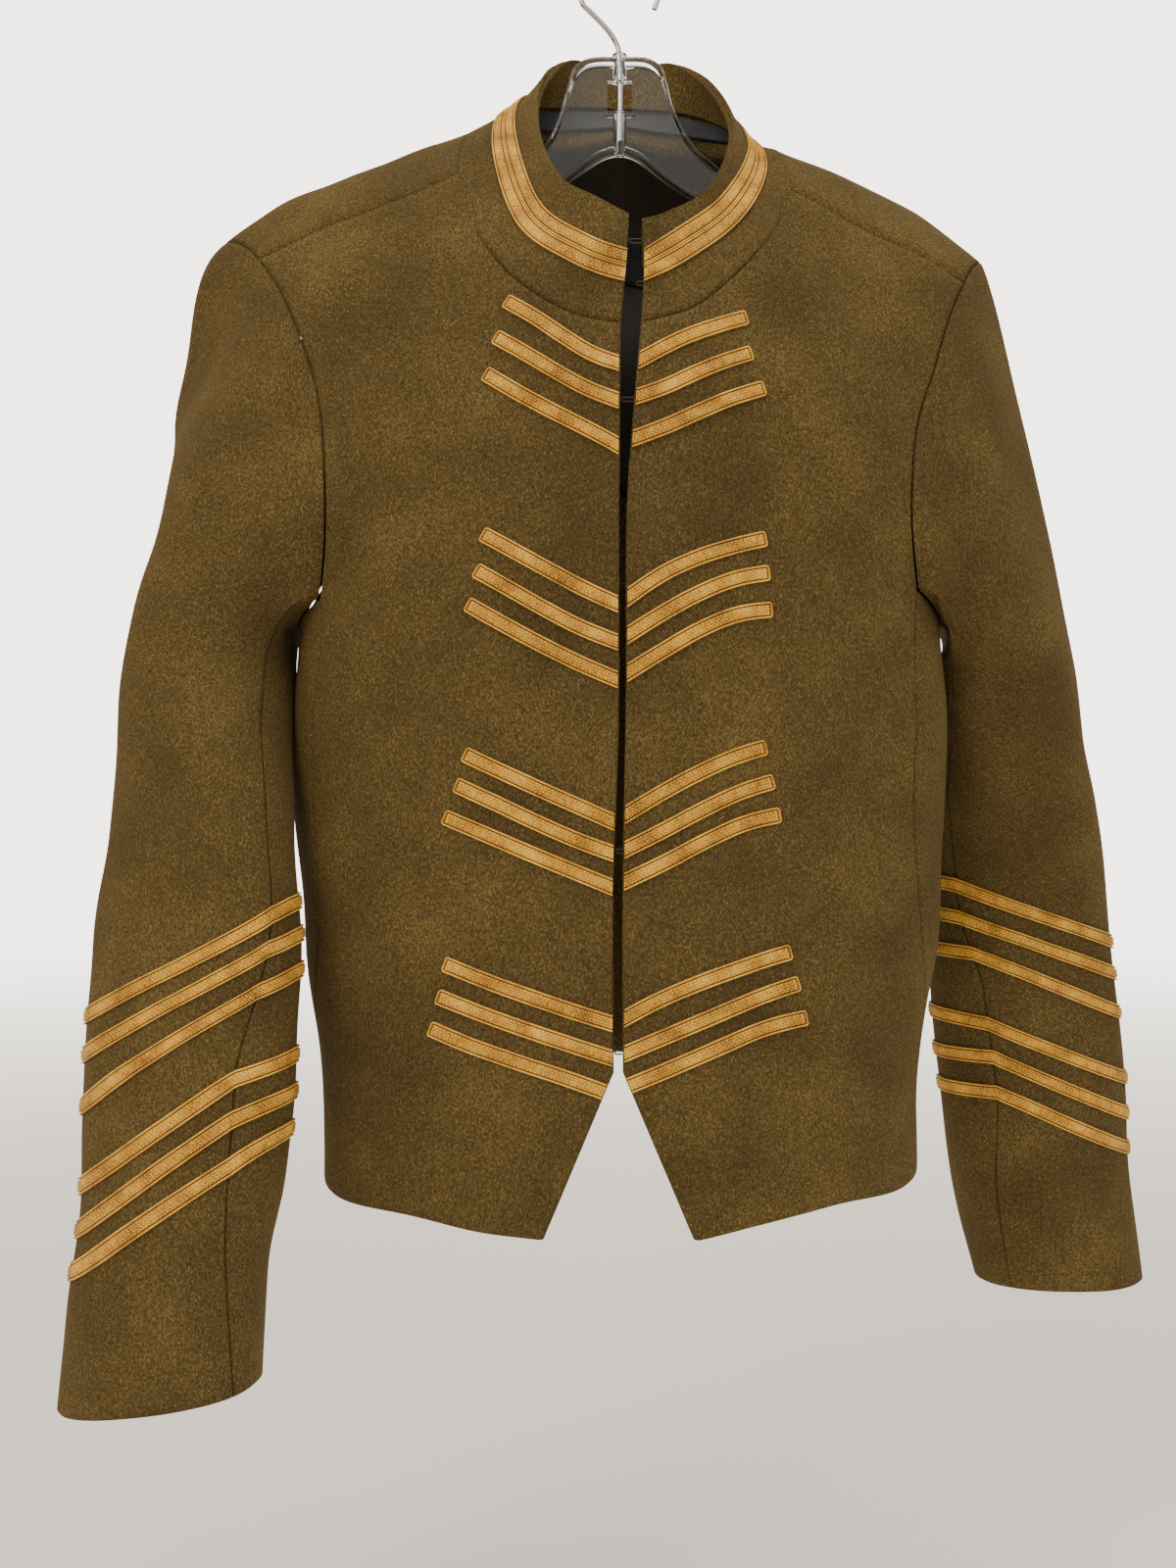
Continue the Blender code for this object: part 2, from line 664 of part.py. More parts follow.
def sleeve_degrees(table, level):
    """Angle of each column of a sleeve at a level, with the two seams at fixed columns."""
    front = float(sleeve_sizes(table, level)[-1])
    top = np.linspace(90, front, ARM_FRONT_CELLS + 1)
    under = np.linspace(front, BACK_SEAM - 360, ARM_SIDE_CELLS + 1)
    back = np.linspace(BACK_SEAM - 360, -270, ARM_BACK_CELLS + ARM_TOP_CELLS + 1)
    return np.concatenate([top, under[1:], back[1:-1]])


def sleeve_grid(side):
    """Outer face of a sleeve and its normals: rows from armhole to cuff, columns round the ring."""
    table = SLEEVE_LEFT if side.sign < 0 else SLEEVE_RIGHT
    ring, body_out, under_arm = armhole(side)
    round_ring = np.roll(ring, -1, axis=0) - np.roll(ring, 1, axis=0)
    away = np.cross(body_out, round_ring) * side.sign
    away /= np.linalg.norm(away, axis=1, keepdims=True)
    lean = (under_arm * math.pi / 2)[:, None]
    start = away * np.cos(lean) + body_out * np.sin(lean)
    levels = np.linspace(-table[0][0] * MM, -table[-1][0] * MM, SLEEVE_CELLS + 1)
    tube = np.stack([sleeve_ring(table, level, sleeve_degrees(table, level), side.sign) for level in levels])
    first, second = tube[0], tube[1]
    down = (second - first) / np.linalg.norm(second - first, axis=1, keepdims=True)
    gap = np.linalg.norm(first - ring, axis=1, keepdims=True)
    ring = ring + start * SEAM_GAP
    cap_out = CAP_OUT_LEFT if side.sign < 0 else CAP_OUT_RIGHT
    cap_down = CAP_DOWN_LEFT if side.sign < 0 else CAP_DOWN_RIGHT
    swell = (CAP_SWELL_LEFT if side.sign < 0 else CAP_SWELL_RIGHT) * side.sign
    beside = (np.arange(len(ring)) + len(ring) // 2) % len(ring) - len(ring) // 2 + 0.5
    shoulder = np.exp(-((beside / 2) ** 2))[:, None] * np.array([swell, 0, 0])
    rows = []
    for t in np.linspace(0, 1, SLEEVE_CAP_CELLS + 1)[:-1]:
        rows.append(
            (2 * t**3 - 3 * t**2 + 1) * ring
            + (t**3 - 2 * t**2 + t) * gap * (cap_out + (UNDERARM_OUT - cap_out) * under_arm[:, None]) * start
            + (3 * t**2 - 2 * t**3) * first
            + (t**3 - t**2) * gap * cap_down * down
            + math.exp(-(((t - CAP_SWELL_AT) / 0.13) ** 2)) * shoulder
        )
    grid = np.concatenate([np.stack(rows), tube])
    out = normals(grid, wrap=True) * side.sign
    edge = np.cross(start, round_ring) * -side.sign
    out[0] = edge / np.linalg.norm(edge, axis=1, keepdims=True)
    return grid, out


# ---------------------------------------------------------------- collar

def neck_ring():
    """Neckline of the body and its normals, from left centre front round the back to the right."""
    rings = []
    for left, right, back in zip(front_grid(LEFT), front_grid(RIGHT), back_grid()):
        across = back[-1, SHOULDER_CELLS : SHOULDER_CELLS + BACK_NECK_CELLS + 1]
        rings.append(np.concatenate([left[-1, : NECK_CELLS + 1], across[1:-1], right[-1, : NECK_CELLS + 1][::-1]]))
    return rings


def collar_grid():
    """Outer face of the collar and its normals: neckline, braid edge, bend, braid edge, top rim."""
    ring, body_out = neck_ring()
    length = np.concatenate([[0], np.cumsum(np.linalg.norm(np.diff(ring, axis=0), axis=1))])
    u = length / length[-1]
    knots = column(COLLAR, COLLAR_COLUMNS, "u", 1)
    sizes = np.array(COLLAR, float)[:, 1:] * MM
    bend = smooth_open(u, knots, sizes[:, :3])
    top = smooth_open(u, knots, sizes[:, 3:])
    grid = np.empty((COLLAR_ROWS, len(ring), 3))
    for k, ends in enumerate(zip(ring, bend, top)):
        fine = smooth_open(np.linspace(0, 1, 201), np.array([0, 0.5, 1.0]), np.stack(ends))
        run = np.concatenate([[0], np.cumsum(np.linalg.norm(np.diff(fine, axis=0), axis=1))])
        at = [0, run[100] - COLLAR_TAPE_STEP, run[100], run[100] + COLLAR_TAPE_STEP, run[-1]]
        grid[:, k] = np.stack([np.interp(at, run, fine[:, axis]) for axis in range(3)], axis=1)
    out = -normals(grid)
    away = np.cross(np.gradient(ring, axis=0), body_out)
    away /= np.linalg.norm(away, axis=1, keepdims=True)
    if np.sum(away * (grid[1] - grid[0])) < 0:
        away = -away
    dip = np.maximum(np.sum(out[0] * away, axis=1, keepdims=True), 0) * CLOTH * 1.7
    step = grid[1] - grid[0]
    step /= np.linalg.norm(step, axis=1, keepdims=True)
    grid[0] += step * SEAM_GAP + away * (dip + 0.5 * SEAM_GAP)
    return grid, out


def on_grid(grid, rows, columns):
    """Points on the flat cells of a grid at fractions of its rows and columns."""
    rows = np.asarray(rows, float) % len(grid) if np.min(rows) < 0 else np.asarray(rows, float)
    columns = np.asarray(columns, float)
    i = np.clip(np.floor(rows).astype(int), 0, len(grid) - 2)
    j = np.clip(np.floor(columns).astype(int), 0, grid.shape[1] - 2)
    v = (rows - i)[:, None, None]
    u = (columns - j)[None, :, None]
    a, b = grid[i][:, j], grid[i][:, j + 1]
    c, d = grid[i + 1][:, j], grid[i + 1][:, j + 1]
    return (1 - v) * ((1 - u) * a + u * b) + v * ((1 - u) * c + u * d)


# ---------------------------------------------------------------- walls and meshes

def normals(grid, wrap=False):
    """Unit normals of a grid of points, from its rows and columns."""
    if wrap:
        across = np.roll(grid, -1, axis=1) - np.roll(grid, 1, axis=1)
    else:
        across = np.gradient(grid, axis=1)
    up = np.gradient(grid, axis=0)
    n = np.cross(across, up)
    return n / np.maximum(np.linalg.norm(n, axis=-1, keepdims=True), 1e-12)


def inset(grid, amount, sides):
    """The grid with its named borders drawn in by an amount, for the gap at a seam."""
    out = grid.copy()
    for name in sides:
        edge, inner = {
            "bottom": (np.s_[0, :], np.s_[1, :]),
            "top": (np.s_[-1, :], np.s_[-2, :]),
            "left": (np.s_[:, 0], np.s_[:, 1]),
            "right": (np.s_[:, -1], np.s_[:, -2]),
        }[name]
        step = grid[inner] - grid[edge]
        out[edge] += amount * step / np.linalg.norm(step, axis=-1, keepdims=True)
    return out


def new_object(name, points, faces, material):
    """A mesh object in the jacket's collection."""
    mesh = bpy.data.meshes.new(name)
    mesh.from_pydata([tuple(p) for p in points], [], faces)
    mesh.update()
    mesh.shade_smooth()
    mesh.set_sharp_from_angle(angle=math.radians(50))
    obj = bpy.data.objects.new(name, mesh)
    obj.data.materials.append(material)
    bpy.data.collections[COLLECTION].objects.link(obj)
    return obj


def wall(name, outer, inner, material):
    """A closed wall between two grids of the same shape."""
    rows, cols = outer.shape[:2]
    points = np.concatenate([outer.reshape(-1, 3), inner.reshape(-1, 3)])
    count = rows * cols
    faces = []
    for i in range(rows - 1):
        for j in range(cols - 1):
            a, b, c, d = i * cols + j, i * cols + j + 1, (i + 1) * cols + j + 1, (i + 1) * cols + j
            faces.append((a, b, c, d))
            faces.append((a + count, d + count, c + count, b + count))
    border = [(0, j) for j in range(cols)]
    border += [(i, cols - 1) for i in range(1, rows)]
    border += [(rows - 1, j) for j in range(cols - 2, -1, -1)]
    border += [(i, 0) for i in range(rows - 2, 0, -1)]
    for (i, j), (k, m) in zip(border, border[1:] + border[:1]):
        a, b = i * cols + j, k * cols + m
        faces.append((b, a, a + count, b + count))
    return new_object(name, points, faces, material)


def bar(name, sections, material, ring=False):
    """A closed solid through a list of four-sided sections, joined end to end when it is a ring."""
    sections = np.asarray(sections)
    count = len(sections)
    faces = [] if ring else [(3, 2, 1, 0), tuple((count - 1) * 4 + k for k in range(4))]
    for i in range(count if ring else count - 1):
        here, there = i * 4, (i + 1) % count * 4
        for k in range(4):
            m = (k + 1) % 4
            faces.append((here + k, here + m, there + m, there + k))
    return new_object(name, sections.reshape(-1, 3), faces, material)


def braid_sections(low, high, out_low, out_high, lift=BRAID_LIFT):
    """Sections of a flat braid between two edges that lie on the cloth, with its normals there."""
    near, far = lift, lift + BRAID_THICK
    corners = (low + out_low * near, high + out_high * near, high + out_high * far, low + out_low * far)
    return np.stack(corners, axis=1)


def tube(name, points, radius, material, resolution=2):
    """A round wire through a list of points, with closed ends."""
    curve = bpy.data.curves.new(name, "CURVE")
    curve.dimensions = "3D"
    curve.bevel_depth = radius
    curve.bevel_resolution = resolution
    curve.use_fill_caps = True
    spline = curve.splines.new("POLY")
    spline.points.add(len(points) - 1)
    for target, point in zip(spline.points, points):
        target.co = (*point, 1)
    obj = bpy.data.objects.new(name, curve)
    obj.data.materials.append(material)
    bpy.data.collections[COLLECTION].objects.link(obj)
    return obj


def material(name, colour, roughness, metallic=0.0):
    """A Principled material."""
    made = bpy.data.materials.new(name)
    made.use_nodes = True
    made.diffuse_color = (*colour, 1)
    shader = made.node_tree.nodes["Principled BSDF"]
    shader.inputs["Base Color"].default_value = (*colour, 1)
    shader.inputs["Roughness"].default_value = roughness
    shader.inputs["Metallic"].default_value = metallic
    return made


# ---------------------------------------------------------------- pieces

def panel(name, grid, out, joined, turned, cloth):
    """A wall on a grid of the body, drawn in at its joined borders, its columns turned to face out."""
    outer = inset(grid, SEAM_GAP / 2, joined)
    inner = outer - out * CLOTH
    if turned:
        outer, inner = outer[:, ::-1], inner[:, ::-1]
    return wall(name, outer, inner, cloth)


def make_fronts(cloth):
    """The two fronts, from the front edge to the side seam and armhole."""
    for side in (LEFT, RIGHT):
        grid, out = front_grid(side)
        panel(f"front_{side.name}", grid, out, ("top", "right"), side.sign < 0, cloth)


def make_sides(cloth):
    """The two side panels, from the side-front seam round to the side-back seam."""
    for side in (LEFT, RIGHT):
        grid, out = side_grid(side)
        panel(f"side_{side.name}", grid, out, ("top", "left", "right"), side.sign < 0, cloth)


def make_back(cloth):
    """The back, with its shoulders brought over the ridge to the forward shoulder seams."""
    grid, out = back_grid()
    panel("back", grid, out, ("top", "left", "right"), True, cloth)


def make_sleeves(cloth):
    """Top and under sleeves, joined at the front and back sleeve seams, thinner in the armpit fold."""
    for side in (LEFT, RIGHT):
        grid, out = sleeve_grid(side)
        count = grid.shape[1]
        fold = np.zeros(grid.shape[:2])
        for seam in (ARM_FRONT_CELLS, ARM_FRONT_CELLS + ARM_SIDE_CELLS):
            fold[1 : SLEEVE_CAP_CELLS + 1, seam - 1 : seam + 2] = 1
        thick = CLOTH * (1 - ARMPIT_THIN * fold[..., None])
        amount = np.where(fold[:, ARM_FRONT_CELLS] > 0, ARMPIT_GAP, SEAM_GAP / 2)[::-1, None]
        under = np.arange(ARM_FRONT_CELLS, ARM_FRONT_CELLS + ARM_SIDE_CELLS + 1)
        top = np.arange(ARM_FRONT_CELLS + ARM_SIDE_CELLS, count + ARM_FRONT_CELLS + 1) % count
        for name, columns in (("top_sleeve", top), ("under_sleeve", under)):
            outer = inset(grid[::-1, columns], amount, ("left", "right"))
            inner = outer - (out * thick)[::-1, columns]
            if side.sign > 0:
                outer, inner = outer[:, ::-1], inner[:, ::-1]
            wall(f"{name}_{side.name}", outer, inner, cloth)


def on_front(side, points):
    """Points and normals of the body's front at X and Z."""
    return facing(torso, angle_of(points[:, 0], points[:, 1]), points[:, 1], 1)


def front_edge_x(side, z):
    """X of the front edge of one side at a level, notch and all."""
    path = side.edge[::-1]
    path = np.concatenate([[side.notch], path])
    return np.interp(z, path[:, 1], path[:, 0])


def make_front_braids(braid):
    """Twelve chevron braids on each front, with round corners outside and cut along the front edge."""
    half = BRAID_WIDTH / 2
    for side, table in ((LEFT, FRONT_BRAIDS_LEFT), (RIGHT, FRONT_BRAIDS_RIGHT)):
        for number, row in enumerate(table, 1):
            x, levels = row[0] * MM, np.array(row[1:], float)[:, None] * MM
            share = np.linspace(0, 1, FRONT_BRAID_CELLS + 1)
            x_front = float(front_edge_x(side, levels[-1, 0])) + side.sign * BRAID_EDGE_MARGIN
            middle_x = x + (x_front - x) * share
            middle_z = smooth_open(share * 4, np.arange(5.0), levels)[:, 0]
            middle = np.stack([middle_x, middle_z], axis=1)
            forward = np.gradient(middle, axis=0)
            forward /= np.linalg.norm(forward, axis=1, keepdims=True)
            across = np.stack([-forward[:, 1], forward[:, 0]], axis=1)
            widths = np.full(len(share), half)
            round_in = np.array([0.0, 0.8, BRAID_CORNER / MM]) * MM
            widths_in = half - BRAID_CORNER + np.sqrt(BRAID_CORNER**2 - (BRAID_CORNER - round_in) ** 2)
            lead = middle[0] + forward[0] * round_in[:, None]
            middle[0] += forward[0] * half
            middle = np.concatenate([lead, middle])
            across = np.concatenate([across[:1].repeat(3, axis=0), across])
            widths = np.concatenate([widths_in, widths])
            low, high = middle - across * widths[:, None], middle + across * widths[:, None]
            for end in (low, high):
                reach_x = float(front_edge_x(side, end[-1, 1])) + side.sign * BRAID_EDGE_MARGIN
                slope = forward[-1, 1] / forward[-1, 0]
                end[-1, 1] += slope * (reach_x - end[-1, 0])
                end[-1, 0] = reach_x
            points_low, out_low = on_front(side, low)
            points_high, out_high = on_front(side, high)
            sections = braid_sections(points_low, points_high, out_low, out_high)
            bar(f"front_braid_{side.name}_{number:02d}", sections, braid)


def braid_levels(ring, sign, row):
    """Level of a braid's middle line at each column of a ring: straight from the outer edge to the

    front seam and on to the inner edge in front, and straight from edge to edge behind.
    """
    outer, seam, inner = (value * MM for value in row)
    away = ring[:, 0] * sign
    last, first = int(np.argmin(away)), int(np.argmax(away))
    middle = away[ARM_FRONT_CELLS]
    in_front = np.interp(away, [away[last], middle, away[first]], [inner, seam, outer])
    behind = np.interp(away, [away[last], away[first]], [inner, outer])
    columns = np.arange(len(ring))
    ahead = columns <= last if first == 0 else (columns <= last) | (columns >= first)
    return np.where(ahead, in_front, behind)


def at_levels(tube, values, levels):
    """Values of a tube's grid at a level of each column."""
    found = []
    for k, level in enumerate(levels):
        at = np.interp(-level, -tube[:, k, 2], np.arange(len(tube)))
        i = min(int(at), len(tube) - 2)
        found.append(values[i, k] + (at - i) * (values[i + 1, k] - values[i, k]))
    return np.array(found)


def make_sleeve_braids(braid):
    """Six braid rings on each sleeve: a slant over the top sleeve that bends at the front seam."""
    for side, table in ((LEFT, SLEEVE_BRAIDS_LEFT), (RIGHT, SLEEVE_BRAIDS_RIGHT)):
        grid, out = sleeve_grid(side)
        grid, out = grid[SLEEVE_CAP_CELLS:], out[SLEEVE_CAP_CELLS:]
        for number, row in enumerate(table, 1):
            ring = at_levels(grid, grid, np.full(grid.shape[1], row[0] * MM))
            middle = braid_levels(ring, side.sign, row)
            line = at_levels(grid, grid, middle)
            step = np.roll(line, -1, axis=0) - np.roll(line, 1, axis=0)
            rise = step[:, 2] / np.linalg.norm(step, axis=1)
            half = BRAID_WIDTH / 2 / np.sqrt(1 - rise**2)
            low, high = (at_levels(grid, grid, middle + shift) for shift in (-half, half))
            out_low, out_high = (at_levels(grid, out, middle + shift) for shift in (-half, half))
            sections = braid_sections(low, high, out_low, out_high, SLEEVE_BRAID_LIFT)
            turned = sections if side.sign < 0 else sections[:, ::-1]
            bar(f"sleeve_braid_{side.name}_{number}", turned, braid, ring=True)


def make_collar(cloth, inner_cloth, tape):
    """Outer and inner collar, and the tape band inside the back of the neck."""
    grid, out = collar_grid()
    wall("collar_outer", grid[:, ::-1], (grid - out * CLOTH)[:, ::-1], cloth)
    columns = np.arange(grid.shape[1])
    seat, bed = grid - out * (CLOTH + SEAM_GAP), grid - out * (2 * CLOTH + SEAM_GAP)
    outer, inner = (on_grid(face, INNER_COLLAR_ROWS, columns) for face in (seat, bed))
    wall("collar_inner", outer[:, ::-1], inner[:, ::-1], inner_cloth)
    columns = columns[NECK_BAND_MARGIN : len(columns) - NECK_BAND_MARGIN]
    seat, bed = grid - out * (CLOTH + LOOSE_GAP), grid - out * (CLOTH + LOOSE_GAP + LINING)
    outer, inner = (on_grid(face, NECK_BAND_ROWS, columns) for face in (seat, bed))
    wall("neck_band", outer[:, ::-1], inner[:, ::-1], tape)


def make_collar_braids(braid):
    """Two flat braids side by side along the bend of the collar."""
    grid, out = collar_grid()
    for name, first in (("lower", 1), ("upper", 2)):
        step = grid[first + 1] - grid[first]
        step *= 2 * SEAM_GAP / np.linalg.norm(step, axis=1, keepdims=True)
        low, high = grid[first] + step, grid[first + 1] - step
        sections = braid_sections(low, high, out[first], out[first + 1])
        bar(f"collar_braid_{name}", sections[:, ::-1], braid)


def make_neck_lining(lining, label):
    """Lining inside the back below the neck, and the bare label loop on it."""
    grid, out = back_grid()
    columns = slice(SHOULDER_CELLS + 1, SHOULDER_CELLS + BACK_NECK_CELLS)
    grid, out = grid[-NECK_LINING_ROWS:], out[-NECK_LINING_ROWS:]
    outer, inner = grid - out * (CLOTH + LINING_GAP), grid - out * (CLOTH + LINING_GAP + LINING)
    wall("neck_lining", outer[:, columns][:, ::-1], inner[:, columns][:, ::-1], lining)
    seat = inner - out * LOOSE_GAP
    bed = seat - out * LABEL_THICK
    rows, across = np.linspace(*LABEL_ROWS, 3) + NECK_LINING_ROWS - 1, np.linspace(*LABEL_COLUMNS, 4)
    outer, inner = (on_grid(face, rows, across) for face in (seat, bed))
    wall("neck_label", outer[:, ::-1], inner[:, ::-1], label)


def solid(name, rings, material):
    """A closed solid through rings of the same count, capped at both ends."""
    rings = np.asarray(rings)
    count, size = rings.shape[:2]
    faces = [tuple(range(size))[::-1], tuple((count - 1) * size + k for k in range(size))]
    for i in range(count - 1):
        for k in range(size):
            m = (k + 1) % size
            faces.append((i * size + k, i * size + m, (i + 1) * size + m, (i + 1) * size + k))
    return new_object(name, rings.reshape(-1, 3), faces, material)


def hanger_profile(low, high):
    """Section of the hanger between its two edges: a thin plate with a round rim at each."""
    length = np.linalg.norm(high - low)
    up = (high - low) / length
    join = math.asin(PLATE_THICK / 2 / RIM_RADIUS)
    turns = np.linspace(join, 2 * math.pi - join, 8)
    end_low = np.stack([RIM_RADIUS * np.cos(turns) + RIM_RADIUS, RIM_RADIUS * np.sin(turns)], axis=1)
    end_high = np.stack([length - end_low[::-1, 0], end_low[::-1, 1]], axis=1)
    profile = np.concatenate([end_low, end_high])
    x = low[0] + up[0] * profile[:, 0]
    z = low[1] + up[1] * profile[:, 0]
    return np.stack([x, profile[:, 1], z], axis=1)


def rod(name, z_low, z_high, radius, material):
    """An upright cylinder on the hanger's stem."""
    turns = np.arange(16) * math.pi / 8
    circle = np.stack([np.cos(turns) * radius, np.sin(turns) * radius], axis=1)
    rings = [[(x, y, z) for x, y in circle] for z in (z_low, z_high)]
    return solid(name, rings, material)


def block(name, size_x, size_y, z_low, z_high, material):
    """A box centred on the hanger's stem."""
    corners = [(-1, -1), (1, -1), (1, 1), (-1, 1)]
    rings = [[(x * size_x / 2, y * size_y / 2, z) for x, y in corners] for z in (z_low, z_high)]
    return solid(name, rings, material)


def joined(target, cutters, other, operation):
    """Add a Boolean to the target with another object, kept out of the part."""
    bpy.data.collections[COLLECTION].objects.unlink(other)
    cutters.objects.link(other)
    other.hide_render = True
    other.display_type = "WIRE"
    modifier = target.modifiers.new(operation.title() + " " + other.name, "BOOLEAN")
    modifier.operation = operation
    modifier.solver = "EXACT"
    modifier.object = other


def make_hanger(cutters, plastic, steel):
    """Clear hanger: a thin plate with round rims, a window, a boss round the stem and a wire hook."""
    sections = np.concatenate([np.array(HANGER_LEFT[:0:-1], float), np.array(HANGER_RIGHT, float)]) * MM
    sections = along(sections, HANGER_CELLS)
    body = solid("hanger_body", [hanger_profile(row[:2], row[2:]) for row in sections], plastic)
    low, high = WINDOW_Z[0] * MM, WINDOW_Z[1] * MM
    wide = 2 * (WINDOW_HALF + WINDOW_FRAME)
    top = HANGER_LEFT[0][3] * MM + 1.5 * MM
    frame = block("window_frame", wide, PLATE_THICK * 1.8, low - WINDOW_FRAME, high + WINDOW_FRAME, plastic)
    boss = rod("boss", HANGER_LEFT[0][1] * MM + 1 * MM, top, BOSS_RADIUS, plastic)
    window = block("window", 2 * WINDOW_HALF, 20 * MM, low, high, plastic)
    bore = rod("bore", (HOOK_LEG[0][1] - 1) * MM, -40 * MM, BORE_RADIUS, plastic)
    joined(body, cutters, frame, "UNION")
    joined(body, cutters, boss, "UNION")
    joined(body, cutters, window, "DIFFERENCE")
    joined(body, cutters, bore, "DIFFERENCE")
    leg = [(x * MM, z * MM) for x, z in HOOK_LEG]
    turns = np.radians(np.linspace(200, -28, 22))
    centre_z = HOOK_WIRE - HOOK_RADIUS
    loop = [(HOOK_RADIUS * math.cos(t), centre_z + HOOK_RADIUS * math.sin(t)) for t in turns]
    tube("hanger_hook", [(x, 0, z) for x, z in leg + loop], HOOK_WIRE, steel)


def staple(name, left, right, depth, z, steel):
    """A bent wire across an opening, closed on the left and with both legs towards the right."""
    start, end = left + SEAM_GAP + WIRE, right - 1.5 * SEAM_GAP
    points = [
        (end, depth, z + WIRE_BEND),
        (start + WIRE_BEND, depth, z + WIRE_BEND),
        (start + 0.3 * WIRE_BEND, depth, z + 0.7 * WIRE_BEND),
        (start, depth, z),
        (start + 0.3 * WIRE_BEND, depth, z - 0.7 * WIRE_BEND),
        (start + WIRE_BEND, depth, z - WIRE_BEND),
        (end, depth, z - WIRE_BEND),
    ]
    tube(name, points, WIRE, steel)


def make_fasteners(steel):
    """Wire hooks and eyes that hold the fronts edge to edge, and the open pair on the collar."""
    for number, level in enumerate(FASTENERS, 1):
        z = level * MM
        left, right = (float(front_edge_x(side, z)) for side in (LEFT, RIGHT))
        depth = float(torso(0.0, z)[1]) + CLOTH / 2
        staple(f"hook_and_eye_{number}", left, right, depth, z, steel)
    grid, _ = collar_grid()

    def end_at(end, z):
        order = np.argsort(grid[:, end, 2])
        return [float(np.interp(z, grid[order, end, 2], grid[order, end, k])) for k in (0, 1)]

    for name, z, share in (("collar_hook", COLLAR_HOOK_Z, 0), ("collar_eye", COLLAR_EYE_Z, 0.55)):
        left, right = end_at(0, z), end_at(-1, z)
        near = left[0] + (right[0] - left[0]) * share
        staple(name, near, right[0], (left[1] + right[1]) / 2 + CLOTH / 2, z, steel)


def main():
    """Build the jacket on its hanger."""
    for obj in list(bpy.data.objects):
        bpy.data.objects.remove(obj, do_unlink=True)
    collection = bpy.data.collections.new(COLLECTION)
    cutters = bpy.data.collections.new("cutters")
    bpy.context.scene.collection.children.link(collection)
    bpy.context.scene.collection.children.link(cutters)
    wool = material("olive_wool", (0.13, 0.095, 0.03), 0.95)
    braid = material("tan_braid", (0.55, 0.32, 0.11), 0.8)
    lining = material("olive_lining", (0.06, 0.045, 0.018), 0.45)
    tape = material("navy_tape", (0.008, 0.01, 0.02), 0.7)
    plastic = material("clear_plastic", (0.8, 0.82, 0.85), 0.1)
    steel = material("hook_steel", (0.5, 0.5, 0.52), 0.25, 1.0)
    make_fronts(wool)
    make_sides(wool)
    make_back(wool)
    make_sleeves(wool)
    make_collar(wool, wool, tape)
    make_collar_braids(braid)
    make_neck_lining(lining, tape)
    make_front_braids(braid)
    make_sleeve_braids(braid)
    make_hanger(cutters, plastic, steel)
    make_fasteners(steel)


main()
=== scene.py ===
"""Dress the hanging military jacket: milled wool, flat braid, neck lining, clear hanger, studio.

The cloth follows the same named sizes as the solids, in millimetres, on finer grids with its
folds laid on top. Metres in Blender, +Z up, the front faces -Y and "left" is -X.
"""

import logging
import math
from dataclasses import dataclass
from enum import Enum
from typing import Callable, Sequence

import bpy
import numpy as np
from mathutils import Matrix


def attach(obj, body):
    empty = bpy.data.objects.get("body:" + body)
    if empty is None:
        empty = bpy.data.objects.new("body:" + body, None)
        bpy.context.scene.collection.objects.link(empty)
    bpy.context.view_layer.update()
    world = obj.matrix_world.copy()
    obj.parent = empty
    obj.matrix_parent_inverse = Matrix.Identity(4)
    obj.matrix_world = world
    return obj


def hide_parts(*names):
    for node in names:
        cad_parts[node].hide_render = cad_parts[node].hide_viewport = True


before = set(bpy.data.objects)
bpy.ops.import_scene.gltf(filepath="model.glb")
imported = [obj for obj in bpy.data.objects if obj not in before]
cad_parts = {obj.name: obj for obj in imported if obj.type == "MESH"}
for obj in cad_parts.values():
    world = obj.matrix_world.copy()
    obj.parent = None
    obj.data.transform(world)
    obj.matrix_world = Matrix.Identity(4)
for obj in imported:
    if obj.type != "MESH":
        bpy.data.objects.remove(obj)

LOG = logging.getLogger("jacket")
MM = 0.001
FINE = 8
SLEEVE_FINE = 8

Array = np.ndarray
Surface = Callable[[Array, Array], Array]

# ---------------------------------------------------------------- sizes shared with the solids

CLOTH = 2.4 * MM
LINING = 1.0 * MM
SEAM_GAP = 0.3 * MM
BRAID_WIDTH = 9.0 * MM
BRAID_THICK = 1.6 * MM
BRAID_LIFT = 0.25 * MM

BODY_COLUMNS = ("z", "half_width", "front", "back")
BODY = (
    (-750, 172, 84, 68),
    (-700, 173, 84, 69),
    (-640, 176, 85, 71),
    (-580, 184, 86, 73),
    (-520, 188, 87, 74),
    (-465, 191, 88, 75),
    (-390, 187, 89, 77),
    (-300, 210, 89, 78),
    (-200, 242, 86, 78),
    (-100, 256, 84, 76),
)
BODY_SQUARENESS = 2.6
RIDGE_TOP = -73 * MM
RIDGE_SLOPE_LEFT = 0.375
RIDGE_SLOPE_RIGHT = 0.462
DROOP_START_LEFT = 180 * MM
DROOP_START_RIGHT = 168 * MM
DROOP_LEFT = 4.1
DROOP_RIGHT = 6.1
FRONT_ARCH = 250 * MM
BACK_ARCH = 125 * MM

HEM_COLUMNS = ("degrees", "left", "right")
HEM = (
    (0, -742, -742),
    (13, -737, -737),
    (24, -733, -729),
    (43, -725, -719),
    (58, -723, -717),
    (72, -719, -713),
    (84, -709, -702),
    (93, -698, -693),
    (112, -677, -675),
    (140, -662, -662),
    (180, -657, -657),
)

EDGE_COLUMNS = ("z", "left", "right")
EDGE = (
    (-237, -1.0, 10.5),
    (-300, -1.5, 5.0),
    (-340, -1.8, 2.4),
    (-450, -2.0, 1.8),
    (-550, -5.0, 0.2),
    (-645, -4.8, 0.4),
)
NOTCH_TIP = {"left": (-43, -736), "right": (39, -736)}

